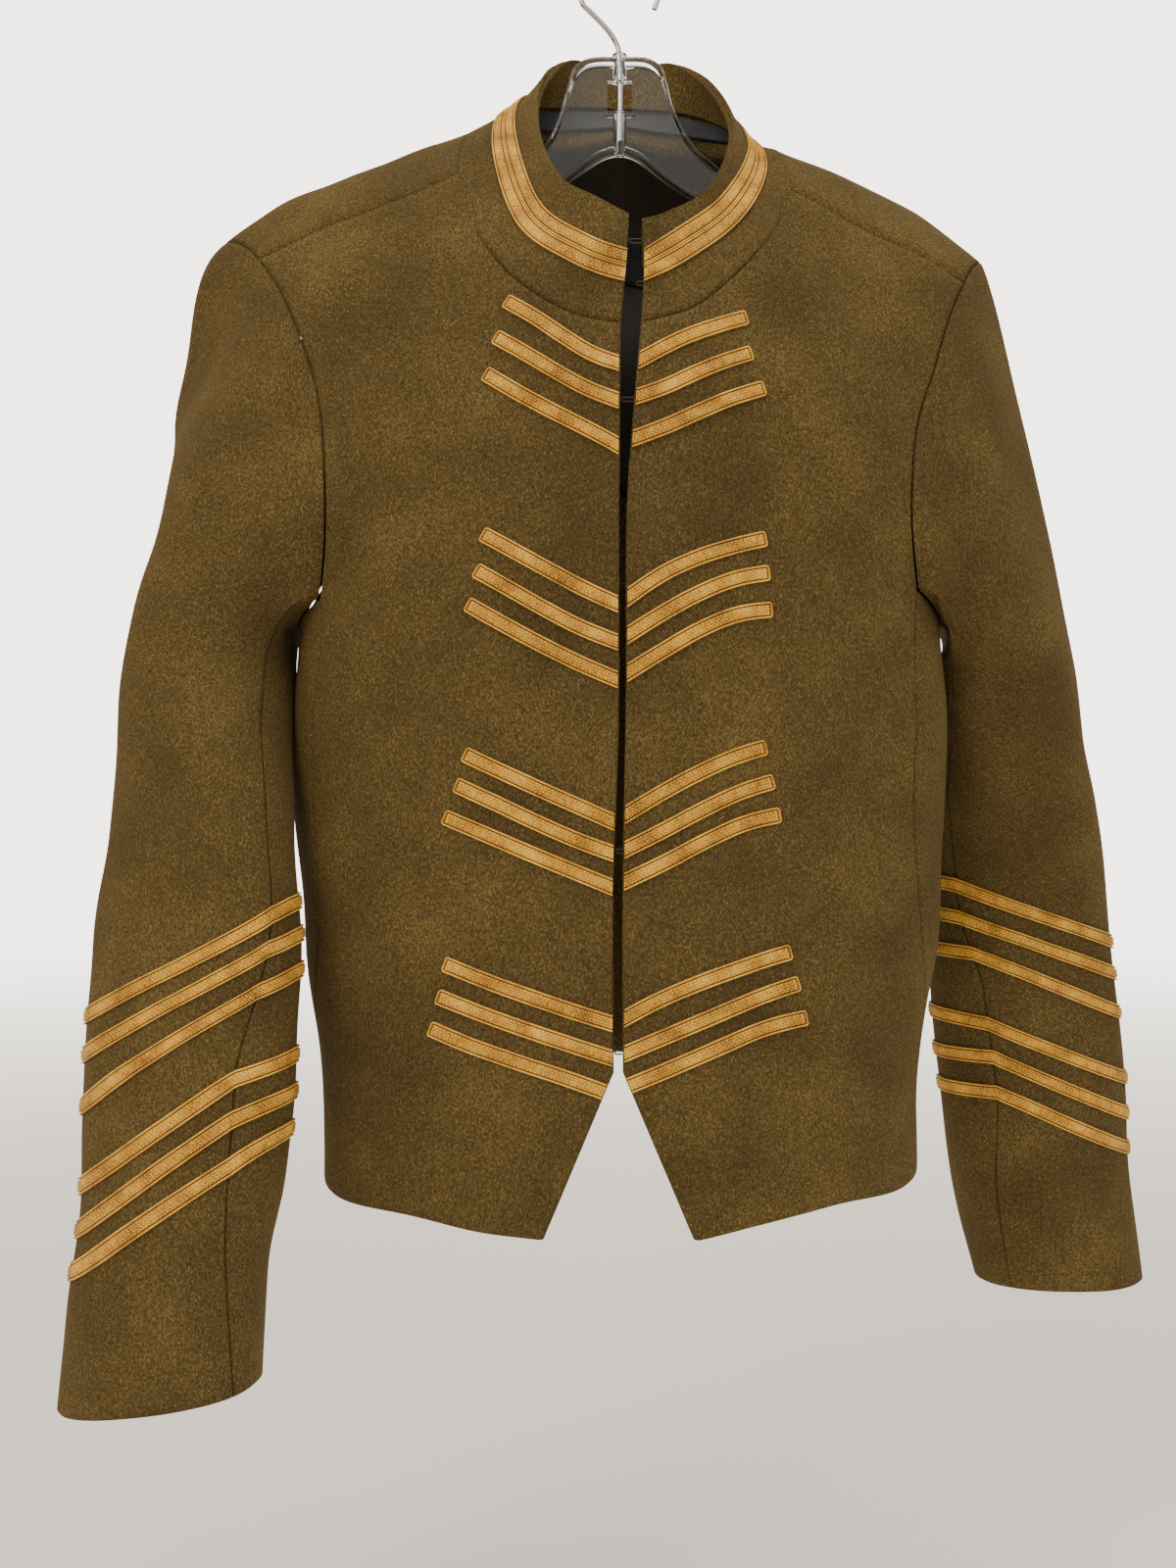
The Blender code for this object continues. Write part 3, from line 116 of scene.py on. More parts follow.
NECK_COLUMNS = ("x_left", "z_left", "x_right", "z_right")
NECK = (
    (-1, -237, 10.5, -236),
    (-30, -231, 38, -228),
    (-57, -213, 61, -209),
    (-76, -190, 80, -187),
    (-88, -165, 91, -169),
    (-92, -144, 94, -151),
)
NECK_BACK_DROP = 20 * MM
# Columns: x in mm and turn over the shoulder in radians, either side of the middle.
NECK_BACK_LEFT = ((-86, -0.05), (-62, 0.36))
NECK_BACK_RIGHT = ((62, 0.36), (88, -0.05))
# A turn in radians weighs a tenth as much as metres in the length of a curve.
TURN_SCALE = np.array([1, 0.1])
SHOULDER_TIP = {"left": (-208, -187), "right": (197, -202)}

ARMHOLE_FRONT_COLUMNS = ("x_left", "z_left", "x_right", "z_right")
ARMHOLE_FRONT = (
    (-169, -384, 166, -380),
    (-165, -350, 161, -340),
    (-165, -310, 164, -295),
    (-172, -262, 176, -255),
    (-190, -215, 188, -219),
    (-208, -187, 197, -202),
)
ARMHOLE_BACK_COLUMNS = ("x_left", "drop_left", "x_right", "drop_right")
ARMHOLE_BACK = (
    (166, 210, 166, 210),
    (172, 160, 172, 160),
    (182, 105, 179, 105),
    (203, 50, 192, 50),
    (226, 13, 207, 13),
)
ARMHOLE_RIDGE = {"left": 233, "right": 213}
UNDERARM_Z = -396 * MM

SIDE_FRONT_COLUMNS = ("z", "left_degrees", "right_degrees")
SIDE_FRONT = (
    (-720, 82, 80),
    (-640, 75, 74),
    (-577, 61, 60),
    (-467, 58, 52),
    (-384, 56, 54),
)
SIDE_BACK_DEGREES = 124
SEAM_START_DEGREES = 82

NECK_CELLS = 6
SHOULDER_CELLS = 4
SEAM_CELLS = 10
NOTCH_CELLS = 3
ARM_FRONT_CELLS = 6
ARM_SIDE_CELLS = 4
ARM_BACK_CELLS = 5
ARM_TOP_CELLS = 2
BACK_NECK_CELLS = 10

SLEEVE_COLUMNS = ("z", "x", "y", "half_long", "half_deep", "turn", "tilt", "seam")
SLEEVE_LEFT = (
    (-425, -236, -20, 44.5, 51, 26, 0.06, -80),
    (-465, -237, -34, 50, 44, 32, 0.00, -79),
    (-511, -236.5, -46, 56.5, 39, 30, 0.00, -77),
    (-576, -236, -58, 62.5, 36, 22, 0.00, -62),
    (-649, -237.5, -70, 60.5, 36, 18, -0.02, -43),
    (-700, -239.5, -80, 57.5, 36, 16, 0.04, -44),
    (-752, -243, -90, 54, 38, 12, 0.09, -50),
    (-811, -245, -103, 54, 38, 8, 0.15, -57),
)
SLEEVE_RIGHT = (
    (-425, 232, 26, 43, 51, -18, -0.04, -36),
    (-460, 235, 38, 47, 45, -14, 0.00, -37),
    (-500, 241, 51, 53, 42, -10, 0.00, -42),
    (-560, 250, 73, 56, 37, -6, 0.00, -41),
    (-620, 258, 84, 58, 36, -4, 0.00, -29),
    (-680, 266, 94, 59, 36, 0, 0.00, -29),
    (-744, 274, 102, 57, 38, 0, 0.00, -37),
    (-808, 287, 108, 54, 40, 0, 0.01, -42),
)
SLEEVE_SQUARENESS = 2.25
SLEEVE_CAP_CELLS = 5
SLEEVE_CELLS = 13
BACK_SEAM = 222
CAP_OUT = {"left": 0.48, "right": 0.1}
CAP_DOWN = {"left": 1.55, "right": 0.5}
CAP_SWELL = {"left": 9.5 * MM, "right": 0.0}
CAP_SWELL_AT = 0.57
CAP_SWELL_SHARE = 0.13
CAP_SWELL_COLUMNS = 2
UNDERARM_OUT = 1.1
UNDERARM_SHARES = (0.55, 0.2)

COLLAR_COLUMNS = ("u", "bend_x", "bend_y", "bend_z", "top_x", "top_y", "top_z")
COLLAR = (
    (0.00, 2, -78, -206, 4, -74, -176),
    (0.08, -22, -76, -197, -14, -72, -166),
    (0.16, -50, -61, -174, -35, -59, -150),
    (0.25, -67, -26, -119, -47, -17, -106),
    (0.33, -63, 10, -86, -46, 16, -66),
    (0.41, -39, 38, -77, -32, 39, -47),
    (0.50, 1, 47, -76, 1, 48, -50),
    (0.59, 43, 39, -81, 36, 39, -49),
    (0.67, 71, 14, -98, 56, 14, -70),
    (0.75, 79, -18, -127, 67, -18, -108),
    (0.84, 61, -52, -167, 52, -56, -155),
    (0.92, 35, -70, -191, 26, -72, -174),
    (1.00, 12, -78, -206, 11, -75, -179),
)
COLLAR_TAPE_STEP = 9.4 * MM
COLLAR_CELLS = (6, 5, 5, 9)
EDGE_ROW = 0.25
EDGE_ROLL = 0.42
EDGE_DRAW = 0.2
EDGE_BULGE = 0.06

# Columns: x of the outer end, then z there, at each quarter of the way and at the front edge.
FRONT_BRAIDS = {
    "left": (
        (-63.8, -224.9, -234.7, -245.5, -255.1, -261.2),
        (-69.4, -245.4, -255.7, -265.9, -275.1, -282.0),
        (-74.9, -265.6, -277.1, -287.2, -296.7, -306.6),
        (-75.8, -353.5, -363.6, -373.8, -383.5, -391.9),
        (-79.3, -373.0, -384.0, -394.9, -404.7, -412.4),
        (-83.9, -391.2, -402.9, -413.8, -423.8, -432.6),
        (-85.8, -472.3, -481.9, -491.2, -500.3, -509.4),
        (-90.4, -488.8, -498.7, -508.8, -518.3, -526.3),
        (-96.9, -506.3, -515.9, -525.6, -535.1, -544.5),
        (-97.8, -586.6, -595.1, -603.2, -610.9, -618.2),
        (-101.3, -604.3, -613.0, -621.2, -629.1, -637.0),
        (-104.9, -621.6, -631.1, -639.1, -646.7, -655.3),
    ),
    "right": (
        (68.6, -233.6, -238.3, -244.3, -251.5, -259.6),
        (70.7, -254.1, -259.8, -267.0, -274.3, -279.9),
        (77.4, -273.8, -280.1, -288.0, -296.1, -302.7),
        (78.3, -355.8, -360.4, -366.6, -375.5, -388.3),
        (79.9, -374.4, -378.1, -385.9, -396.5, -408.7),
        (81.3, -394.4, -397.3, -405.4, -416.7, -428.9),
        (78.1, -468.6, -474.8, -483.4, -493.7, -505.3),
        (82.4, -487.2, -493.8, -503.3, -514.0, -524.3),
        (86.2, -505.4, -510.6, -520.1, -531.2, -541.5),
        (92.2, -579.8, -586.4, -594.3, -603.8, -615.6),
        (96.4, -596.9, -604.6, -614.3, -624.7, -634.7),
        (100.4, -615.6, -621.3, -630.9, -641.8, -651.7),
    ),
}
BRAID_EDGE_MARGIN = 0.6 * MM
BRAID_TRIM = 9 * MM

# Columns: z at the outer edge, at the front seam and at the inner edge.
SLEEVE_BRAIDS = {
    "left": (
        (-618, -559, -553),
        (-639, -577, -570.5),
        (-666.5, -599, -590),
        (-708, -644.5, -635.5),
        (-730, -665.5, -655),
        (-751, -689.5, -674.5),
    ),
    "right": (
        (-588, -550.5, -547.5),
        (-608.5, -571, -567.5),
        (-633.5, -593, -591),
        (-676, -637.5, -632.5),
        (-699.5, -658.5, -657.5),
        (-722, -681, -680),
    ),
}

FASTENERS = ("collar_hook", "collar_eye", "hook_and_eye_1", "hook_and_eye_2", "hook_and_eye_3")

# Columns: x and z of the lower edge, then of the upper edge, from the middle outwards.
HANGER_LEFT = (
    (0, -119, 0, -60.5),
    (-5, -119.7, -14, -60.5),
    (-9, -121, -21, -62),
    (-13, -123, -27, -67),
    (-19, -127, -30.5, -77),
    (-26, -132, -34, -90),
    (-38, -140, -41, -106),
    (-60, -148.5, -58, -119),
    (-90, -155, -90, -129),
    (-130, -160.5, -130, -136),
    (-165, -163.3, -168, -141.6),
    (-184, -167.8, -189, -151.4),
)
HANGER_RIGHT = (
    (0, -119, 0, -60.5),
    (5, -119.9, 12, -60.5),
    (9, -121.5, 18, -61.5),
    (13, -124, 24.5, -66),
    (19, -129, 28, -76),
    (27, -135, 32, -91),
    (42, -144.5, 41, -108),
    (64, -155, 60, -125),
    (90, -163, 90, -138.5),
    (130, -170.5, 130, -147),
    (163, -174.6, 165, -155.2),
    (180, -182.2, 186, -167.6),
)


# ---------------------------------------------------------------- curves and tables

def column(table: Sequence, columns: Sequence[str], name: str, scale: float = MM) -> Array:
    """One column of a table.

    Args:
        table: Rows of numbers.
        columns: Names of the columns.
        name: The column that is wanted.
        scale: Factor from the table's unit.

    Returns:
        The column as an array.
    """
    return np.array([row[columns.index(name)] for row in table], float) * scale


def smooth(x: Array, knots: Array, values: Array) -> Array:
    """Shape-preserving cubic through knots in rising order.

    Args:
        x: Where the curve is read.
        knots: Places of the values, rising.
        values: One or more columns of values.

    Returns:
        The values at x.
    """
    knots = np.asarray(knots, float)
    values = np.asarray(values, float)
    flat = values.ndim == 1
    if flat:
        values = values[:, None]
    h = np.diff(knots)
    d = np.diff(values, axis=0) / h[:, None]
    m = np.zeros_like(values)
    same = d[:-1] * d[1:] > 0
    w1 = (2 * h[1:] + h[:-1])[:, None]
    w2 = (h[1:] + 2 * h[:-1])[:, None]
    with np.errstate(divide="ignore", invalid="ignore"):
        mean = (w1 + w2) / (w1 / d[:-1] + w2 / d[1:])
    m[1:-1] = np.where(same, mean, 0.0)
    m[0] = d[0]
    m[-1] = d[-1]
    x = np.clip(np.asarray(x, float), knots[0], knots[-1])
    i = np.clip(np.searchsorted(knots, x, side="right") - 1, 0, len(h) - 1)
    t = ((x - knots[i]) / h[i])[..., None]
    out = hermite(t, values[i], values[i + 1], m[i] * h[i][..., None], m[i + 1] * h[i][..., None])
    return out[..., 0] if flat else out


def hermite(t: Array, start: Array, end: Array, leave: Array, arrive: Array) -> Array:
    """Cubic from start to end with the two tangents.

    Args:
        t: Share of the way, 0 to 1.
        start: Value at 0.
        end: Value at 1.
        leave: Tangent at 0.
        arrive: Tangent at 1.

    Returns:
        The curve's values at t.
    """
    return (
        (2 * t**3 - 3 * t**2 + 1) * start
        + (t**3 - 2 * t**2 + t) * leave
        + (3 * t**2 - 2 * t**3) * end
        + (t**3 - t**2) * arrive
    )


def smooth_open(x: Array, knots: Array, points: Array) -> Array:
    """Catmull-Rom curve through points.

    Args:
        x: Where the curve is read.
        knots: Places of the points, rising.
        points: The points.

    Returns:
        The points at x.
    """
    m = np.empty_like(points)
    h = np.diff(knots)
    d = np.diff(points, axis=0) / h[:, None]
    if len(points) > 2:
        m[1:-1] = (d[:-1] * h[1:, None] + d[1:] * h[:-1, None]) / (h[1:] + h[:-1])[:, None]
        m[0] = 1.5 * d[0] - 0.5 * m[1]
        m[-1] = 1.5 * d[-1] - 0.5 * m[-2]
    else:
        m[:] = d[0]
    i = np.clip(np.searchsorted(knots, x, side="right") - 1, 0, len(h) - 1)
    t = ((x - knots[i]) / h[i])[:, None]
    step = h[i][:, None]
    return hermite(t, points[i], points[i + 1], m[i] * step, m[i + 1] * step)


def along(points: Array, count: int) -> Array:
    """Points on a smooth curve through the given ones, evenly spaced by length.

    Args:
        points: Points of the curve.
        count: Number of steps.

    Returns:
        count + 1 points.
    """
    points = np.asarray(points, float)
    chord = np.linalg.norm(np.diff(points, axis=0), axis=1)
    knots = np.concatenate([[0], np.cumsum(np.sqrt(chord))])
    dense = smooth_open(np.linspace(0, knots[-1], 600), knots, points)
    length = running_length(dense)
    want = np.linspace(0, length[-1], count + 1)
    return np.stack([np.interp(want, length, dense[:, k]) for k in range(points.shape[1])], axis=1)


def running_length(points: Array) -> Array:
    """Length along a line of points, from 0.

    Args:
        points: The points.

    Returns:
        One length for each point.
    """
    return np.concatenate([[0], np.cumsum(np.linalg.norm(np.diff(points, axis=0), axis=1))])


def unit(vectors: Array) -> Array:
    """Vectors at length 1.

    Args:
        vectors: The vectors.

    Returns:
        Vectors of the same shape.
    """
    return vectors / np.maximum(np.linalg.norm(vectors, axis=-1, keepdims=True), 1e-12)


def patch(bottom: Array, top: Array, left: Array, right: Array) -> Array:
    """Coons patch.

    Args:
        bottom: Points of the first row.
        top: Points of the last row.
        left: Points of the first column.
        right: Points of the last column.

    Returns:
        Rows from bottom to top, columns from left to right.
    """
    rows, cols = len(left), len(bottom)
    v = np.linspace(0, 1, rows)[:, None, None]
    u = np.linspace(0, 1, cols)[None, :, None]
    ruled = (1 - v) * bottom[None] + v * top[None] + (1 - u) * left[:, None] + u * right[:, None]
    corners = (
        (1 - u) * (1 - v) * bottom[0]
        + u * (1 - v) * bottom[-1]
        + (1 - u) * v * top[0]
        + u * v * top[-1]
    )
    return ruled - corners


def normals(grid: Array, wrap: bool = False) -> Array:
    """Unit normals of a grid of points.

    Args:
        grid: Rows and columns of points.
        wrap: Whether the columns close into a ring.

    Returns:
        One normal for each point.
    """
    if wrap:
        across = np.roll(grid, -1, axis=1) - np.roll(grid, 1, axis=1)
    else:
        across = np.gradient(grid, axis=1)
    return unit(np.cross(across, np.gradient(grid, axis=0)))


def facing(surface: Surface, u: Array, v: Array) -> tuple[Array, Array]:
    """Points of a surface and its unit normals.

    Args:
        surface: Function of two parameters.
        u: First parameter.
        v: Second parameter.

    Returns:
        Points and normals.
    """
    step = 1e-4
    du = surface(u + step, v) - surface(u - step, v)
    dv = surface(u, v + step) - surface(u, v - step)
    return surface(u, v), unit(np.cross(du, dv))


# ---------------------------------------------------------------- folds of the hanging cloth

class Face(Enum):
    """Side of the jacket that a fold lies on."""

    FRONT = -1
    BACK = 1


@dataclass(frozen=True)
class Fold:
    """A soft ridge or trough from one point to another, X and Z in mm.

    A positive height is a ridge, a negative one a trough. Width is the distance from its line
    at which it has fallen to a third.
    """

    x_start: float
    z_start: float
    x_end: float
    z_end: float
    height: float
    width: float
    face: Face = Face.FRONT

    def rise(self, points: Array, out: Array) -> Array:
        """Height of the fold at points of the cloth.

        Args:
            points: Points of the cloth, in metres.
            out: The cloth's normals there.

        Returns:
            Heights in metres.
        """
        start = np.array([self.x_start, self.z_start]) * MM
        end = np.array([self.x_end, self.z_end]) * MM
        line = end - start
        length = np.linalg.norm(line)
        place = points[..., [0, 2]] - start
        share = np.clip((place @ line) / length**2, 0, 1)
        away = np.linalg.norm(place - share[..., None] * line, axis=-1)
        fade = np.sin(math.pi * np.clip(share * 0.92 + 0.04, 0, 1)) ** 0.7
        turned = np.clip(out[..., 1] * self.face.value * 2.0, 0, 1)
        return self.height * MM * np.exp(-((away / (self.width * MM)) ** 2)) * fade * turned


BODY_FOLDS = (
    Fold(-118, -235, -104, -400, -2.6, 20),
    Fold(-72, -330, -48, -520, 2.0, 24),
    Fold(-128, -330, -120, -560, 1.8, 26),
    Fold(-30, -420, -60, -500, -1.4, 18),
    Fold(-120, -560, -60, -650, -1.6, 26),
    Fold(-75, -600, -50, -715, 2.2, 24),
    Fold(-140, -590, -118, -700, 1.6, 22),
    Fold(60, -300, 78, -450, -2.6, 24),
    Fold(30, -250, 46, -360, 1.4, 20),
    Fold(120, -260, 116, -420, 2.2, 26),
    Fold(100, -480, 60, -560, -1.8, 24),
    Fold(128, -560, 104, -700, 2.4, 26),
    Fold(56, -590, 70, -710, 1.8, 22),
    Fold(150, -300, 142, -520, -1.6, 18),
    Fold(-90, -240, -70, -560, 2.6, 30, Face.BACK),
    Fold(70, -260, 96, -600, -2.4, 28, Face.BACK),
    Fold(0, -200, 10, -420, -1.6, 34, Face.BACK),
    Fold(120, -230, 110, -420, 2.2, 24, Face.BACK),
    Fold(-130, -420, -110, -640, -2.0, 26, Face.BACK),
)
SLEEVE_FOLDS = (
    Fold(-262, -470, -212, -520, -2.4, 16),
    Fold(-280, -560, -214, -590, -2.6, 18),
    Fold(-284, -512, -236, -540, 1.8, 15),
    Fold(-205, -420, -196, -520, 2.0, 14),
    Fold(-272, -330, -262, -450, 2.0, 20),
    Fold(-232, -250, -226, -400, -2.0, 20),
    Fold(-276, -640, -226, -655, 1.4, 16),
    Fold(-262, -735, -222, -790, -1.4, 18),
    Fold(206, -430, 214, -540, 2.2, 14),
    Fold(232, -250, 232, -400, -2.0, 20),
    Fold(268, -470, 226, -520, -2.0, 18),
    Fold(286, -560, 236, -590, -2.2, 18),
    Fold(292, -520, 262, -540, 1.6, 15),
    Fold(300, -690, 250, -720, 1.4, 18),
    Fold(-262, -480, -214, -540, -2.8, 16, Face.BACK),
    Fold(-272, -560, -212, -600, 2.2, 16, Face.BACK),
    Fold(276, -470, 230, -540, -2.6, 16, Face.BACK),
    Fold(296, -590, 240, -620, 2.0, 18, Face.BACK),
)
SWELLS = (
    (0.55, 74, 21, 0.3),
    (0.45, -38, 52, 1.9),
    (0.35, 95, -44, 4.1),
    (0.25, 133, 87, 2.6),
)


def swell(points: Array) -> Array:
    """Slow unevenness of hanging milled wool: a few long waves over X, Y and Z.

    Args:
        points: Points of the cloth, in metres.

    Returns:
        Heights in metres.
    """
    total = np.zeros(points.shape[:-1])
    for height, per_x, per_z, phase in SWELLS:
        wave = per_x * points[..., 0] + per_z * points[..., 2] + 31 * points[..., 1] + phase
        total += height * MM * np.sin(wave)
    return total


def drape(points: Array, out: Array, folds: Sequence[Fold]) -> Array:
    """Cloth moved along its normals by its folds and its slow swell.

    Args:
        points: Points of the cloth, in metres.
        out: Normals there.
        folds: The folds on it.

    Returns:
        The moved points.
    """
    height = swell(points)
    for fold in folds:
        height = height + fold.rise(points, out)
    return points + out * height[..., None]


# ---------------------------------------------------------------- form of the body

@dataclass(frozen=True)
class Side:
    """Named sizes of one side of the jacket; sign is -1 for the left and 1 for the right."""

    sign: int

    @property
    def name(self) -> str:
        """Left or right."""
        return "left" if self.sign < 0 else "right"

    @property
    def tip(self) -> Array:
        """Shoulder tip, X and Z."""
        return np.array(SHOULDER_TIP[self.name]) * MM

    @property
    def notch(self) -> Array:
        """Lowest corner of the front, X and Z."""
        return np.array(NOTCH_TIP[self.name]) * MM

    @property
    def edge(self) -> Array:
        """Front edge from the neck down, X and Z."""
        return np.stack([column(EDGE, EDGE_COLUMNS, self.name), column(EDGE, EDGE_COLUMNS, "z")], axis=1)

    @property
    def neck(self) -> Array:
        """Front neckline from centre front to the shoulder seam, X and Z."""
        return self.pairs(NECK, NECK_COLUMNS)

    @property
    def arm(self) -> Array:
        """Front armhole from underarm to shoulder tip, X and Z."""
        return self.pairs(ARMHOLE_FRONT, ARMHOLE_FRONT_COLUMNS)

    def pairs(self, table: Sequence, columns: Sequence[str]) -> Array:
        """X and Z columns of this side.

        Args:
            table: Rows of numbers.
            columns: Names of its columns.

        Returns:
            One row for each row of the table.
        """
        names = ("x_" + self.name, "z_" + self.name)
        return np.stack([column(table, columns, name) for name in names], axis=1)


LEFT, RIGHT = Side(-1), Side(1)
BODY_Z = column(BODY, BODY_COLUMNS, "z")
BODY_SIZES = np.stack([column(BODY, BODY_COLUMNS, name) for name in BODY_COLUMNS[1:]], axis=1)


class BodyForm:
    """The surface that fronts, side panels and back are patches of."""

    @staticmethod
    def girth(z: Array) -> tuple[Array, Array, Array]:
        """Half width, front depth and back depth at a level.

        Args:
            z: Level, in metres.

        Returns:
            Three arrays, in metres.
        """
        sizes = smooth(z, BODY_Z, BODY_SIZES)
        return sizes[..., 0], sizes[..., 1], sizes[..., 2]

    @staticmethod
    def ridge(x: Array) -> Array:
        """Height of the shoulder ridge above a point across the body.

        Args:
            x: Distance across the body, in metres.

        Returns:
            Heights, in metres.
        """
        left, away = np.asarray(x) < 0, np.abs(x)
        past = np.maximum(away - np.where(left, DROOP_START_LEFT, DROOP_START_RIGHT), 0)
        droop = np.where(left, DROOP_LEFT, DROOP_RIGHT) * past**2
        return RIDGE_TOP - np.where(left, RIDGE_SLOPE_LEFT, RIDGE_SLOPE_RIGHT) * away - droop

    @staticmethod
    def reach(angle: Array) -> Array:
        """Radius of the unit section in a direction.

        Args:
            angle: Angle from centre front, below 0 on the left.

        Returns:
            Radii, about 1.
        """
        s, c = np.abs(np.sin(angle)), np.abs(np.cos(angle))
        return (s**BODY_SQUARENESS + c**BODY_SQUARENESS) ** (-1 / BODY_SQUARENESS)

    @classmethod
    def torso(cls, angle: Array, z: Array) -> Array:
        """Point at an angle from centre front (negative to the left) and a level.

        Args:
            angle: Angle from centre front, below 0 on the left.
            z: Level, in metres.

        Returns:
            Points, in metres.
        """
        angle, z = np.broadcast_arrays(np.asarray(angle, float), np.asarray(z, float))
        half, front, back = cls.girth(z)
        r = cls.reach(angle)
        x = half * r * np.sin(angle)
        drop = cls.ridge(x) - z
        ahead = np.cos(angle) > 0
        arch = np.clip(drop / np.where(ahead, FRONT_ARCH, BACK_ARCH), 0, 1)
        depth = np.where(ahead, front, back) * np.sqrt(1 - (1 - arch) ** 2)
        return np.stack([x, -depth * r * np.cos(angle), z], axis=-1)

    @classmethod
    def over(cls, x: Array, turn: Array) -> Array:
        """Point over the shoulder: turn is below 0 in front of the ridge and above 0 behind it.

        Args:
            x: Distance across the body, in metres.
            turn: Angle over the ridge, in radians.

        Returns:
            Points, in metres.
        """
        x, turn = np.broadcast_arrays(np.asarray(x, float), np.asarray(turn, float))
        ahead = turn < 0
        arch = np.where(ahead, FRONT_ARCH, BACK_ARCH)
        bent = np.minimum(np.abs(turn), math.pi / 2)
        drop = arch * (1 - np.cos(bent)) + arch * (np.abs(turn) - bent)
        z = cls.ridge(x) - drop
        half, front, back = cls.girth(z)
        share = np.clip(np.abs(x) / half, 0, 0.9999)
        width = (1 - share**BODY_SQUARENESS) ** (1 / BODY_SQUARENESS)
        depth = np.where(ahead, -front, back) * np.sin(bent) * width
        return np.stack([x, depth, z], axis=-1)

    @staticmethod
    def turn_of(drop: Array, ahead: bool) -> Array:
        """Turn over the shoulder that lies a drop below the ridge.

        Args:
            drop: Distance below the ridge, in metres.
            ahead: Whether it is in front of the ridge.

        Returns:
            Turn, below 0 in front.
        """
        arch = FRONT_ARCH if ahead else BACK_ARCH
        drop = np.asarray(drop, float)
        bent = np.arccos(1 - np.clip(drop / arch, 0, 1)) + np.maximum(drop - arch, 0) / arch
        return -bent if ahead else bent

    @classmethod
    def in_turns(cls, x: Array, z: Array, ahead: bool) -> Array:
        """X and Z of points beside the shoulder ridge, as X and turn.

        Args:
            x: Distance across the body, in metres.
            z: Level, in metres.
            ahead: Whether it is in front of the ridge.

        Returns:
            Rows of X and turn.
        """
        return np.stack([x, cls.turn_of(cls.ridge(x) - z, ahead)], axis=1)

    @classmethod
    def angle_of(cls, x: Array, z: Array) -> Array:
        """Angle on the front half at which the body is x across, at a level.

        Args:
            x: Distance across the body, in metres.
            z: Level, in metres.

        Returns:
            Angle, below 0 on the left.
        """
        x, z = np.broadcast_arrays(np.asarray(x, float), np.asarray(z, float))
        samples = 900
        table = np.linspace(0, math.pi / 2, samples)
        share = np.abs(x) / cls.girth(z)[0]
        return np.sign(x) * np.interp(share, cls.reach(table) * np.sin(table), table)

    @staticmethod
    def hem_level(angle: Array) -> Array:
        """Level of the hem at an angle round the body.

        Args:
            angle: Angle from centre front, below 0 on the left.

        Returns:
            Levels, in metres.
        """
        degrees = np.degrees(np.abs(angle))
        knots = column(HEM, HEM_COLUMNS, "degrees", 1)
        left, right = (
            smooth(degrees, knots, column(HEM, HEM_COLUMNS, name)) for name in ("left", "right")
        )
        return np.where(np.asarray(angle) < 0, left, right)

    @classmethod
    def in_angles(cls, points: Array) -> Array:
        """X and Z on the front half, as angle and level.

        Args:
            points: The points.

        Returns:
            Rows of angle and level.
        """
        return np.stack([cls.angle_of(points[:, 0], points[:, 1]), points[:, 1]], axis=1)

    @classmethod
    def front_point(cls, x: Array, z: Array) -> tuple[Array, Array]:
        """Draped point and normal of the front at X and Z.

        Args:
            x: Distance across the body, in metres.
            z: Level, in metres.

        Returns:
            Points and normals.
        """
        points, out = facing(cls.torso, cls.angle_of(x, z), z)
        return drape(points, out, BODY_FOLDS), out

    @classmethod
    def seam(cls, side: Side) -> Array:
        """Side-front seam from hem to armhole, as angle and level.

        Args:
            side: Side of the jacket.

        Returns:
            Rows of angle and level.
        """
        levels = column(SIDE_FRONT, SIDE_FRONT_COLUMNS, "z")
        degrees = column(SIDE_FRONT, SIDE_FRONT_COLUMNS, side.name + "_degrees", 1)

        def seam_angle(z: Array) -> Array:
            """Angle of the seam at a level."""
            return side.sign * np.radians(smooth(z, levels, degrees))

        angle = side.sign * math.radians(SEAM_START_DEGREES)
        for _ in range(4):
            angle = float(seam_angle(cls.hem_level(angle)))
        rows = np.linspace(float(cls.hem_level(angle)), side.arm[0, 1], SEAM_CELLS * FINE + 1)
        blend = np.linspace(0, 1, SEAM_CELLS * FINE + 1) ** 6
        last = float(cls.angle_of(*side.arm[0]))
        return np.stack([seam_angle(rows) * (1 - blend) + last * blend, rows], axis=1)

    @classmethod
    def side_back(cls, side: Side) -> Array:
        """Side-back seam from hem to armhole, as angle and level.

        Args:
            side: Side of the jacket.

        Returns:
            Rows of angle and level.
        """
        angle = side.sign * math.radians(SIDE_BACK_DEGREES)
        x = side.sign * ARMHOLE_BACK[0][0] * MM
        top = float(cls.ridge(x)) - ARMHOLE_BACK[0][1] * MM
        top_angle = side.sign * math.pi - float(cls.angle_of(x, top))
        share = np.linspace(0, 1, SEAM_CELLS * FINE + 1)
        levels = float(cls.hem_level(angle)) + (top - float(cls.hem_level(angle))) * share
        return np.stack([angle + (top_angle - angle) * share**2, levels], axis=1)

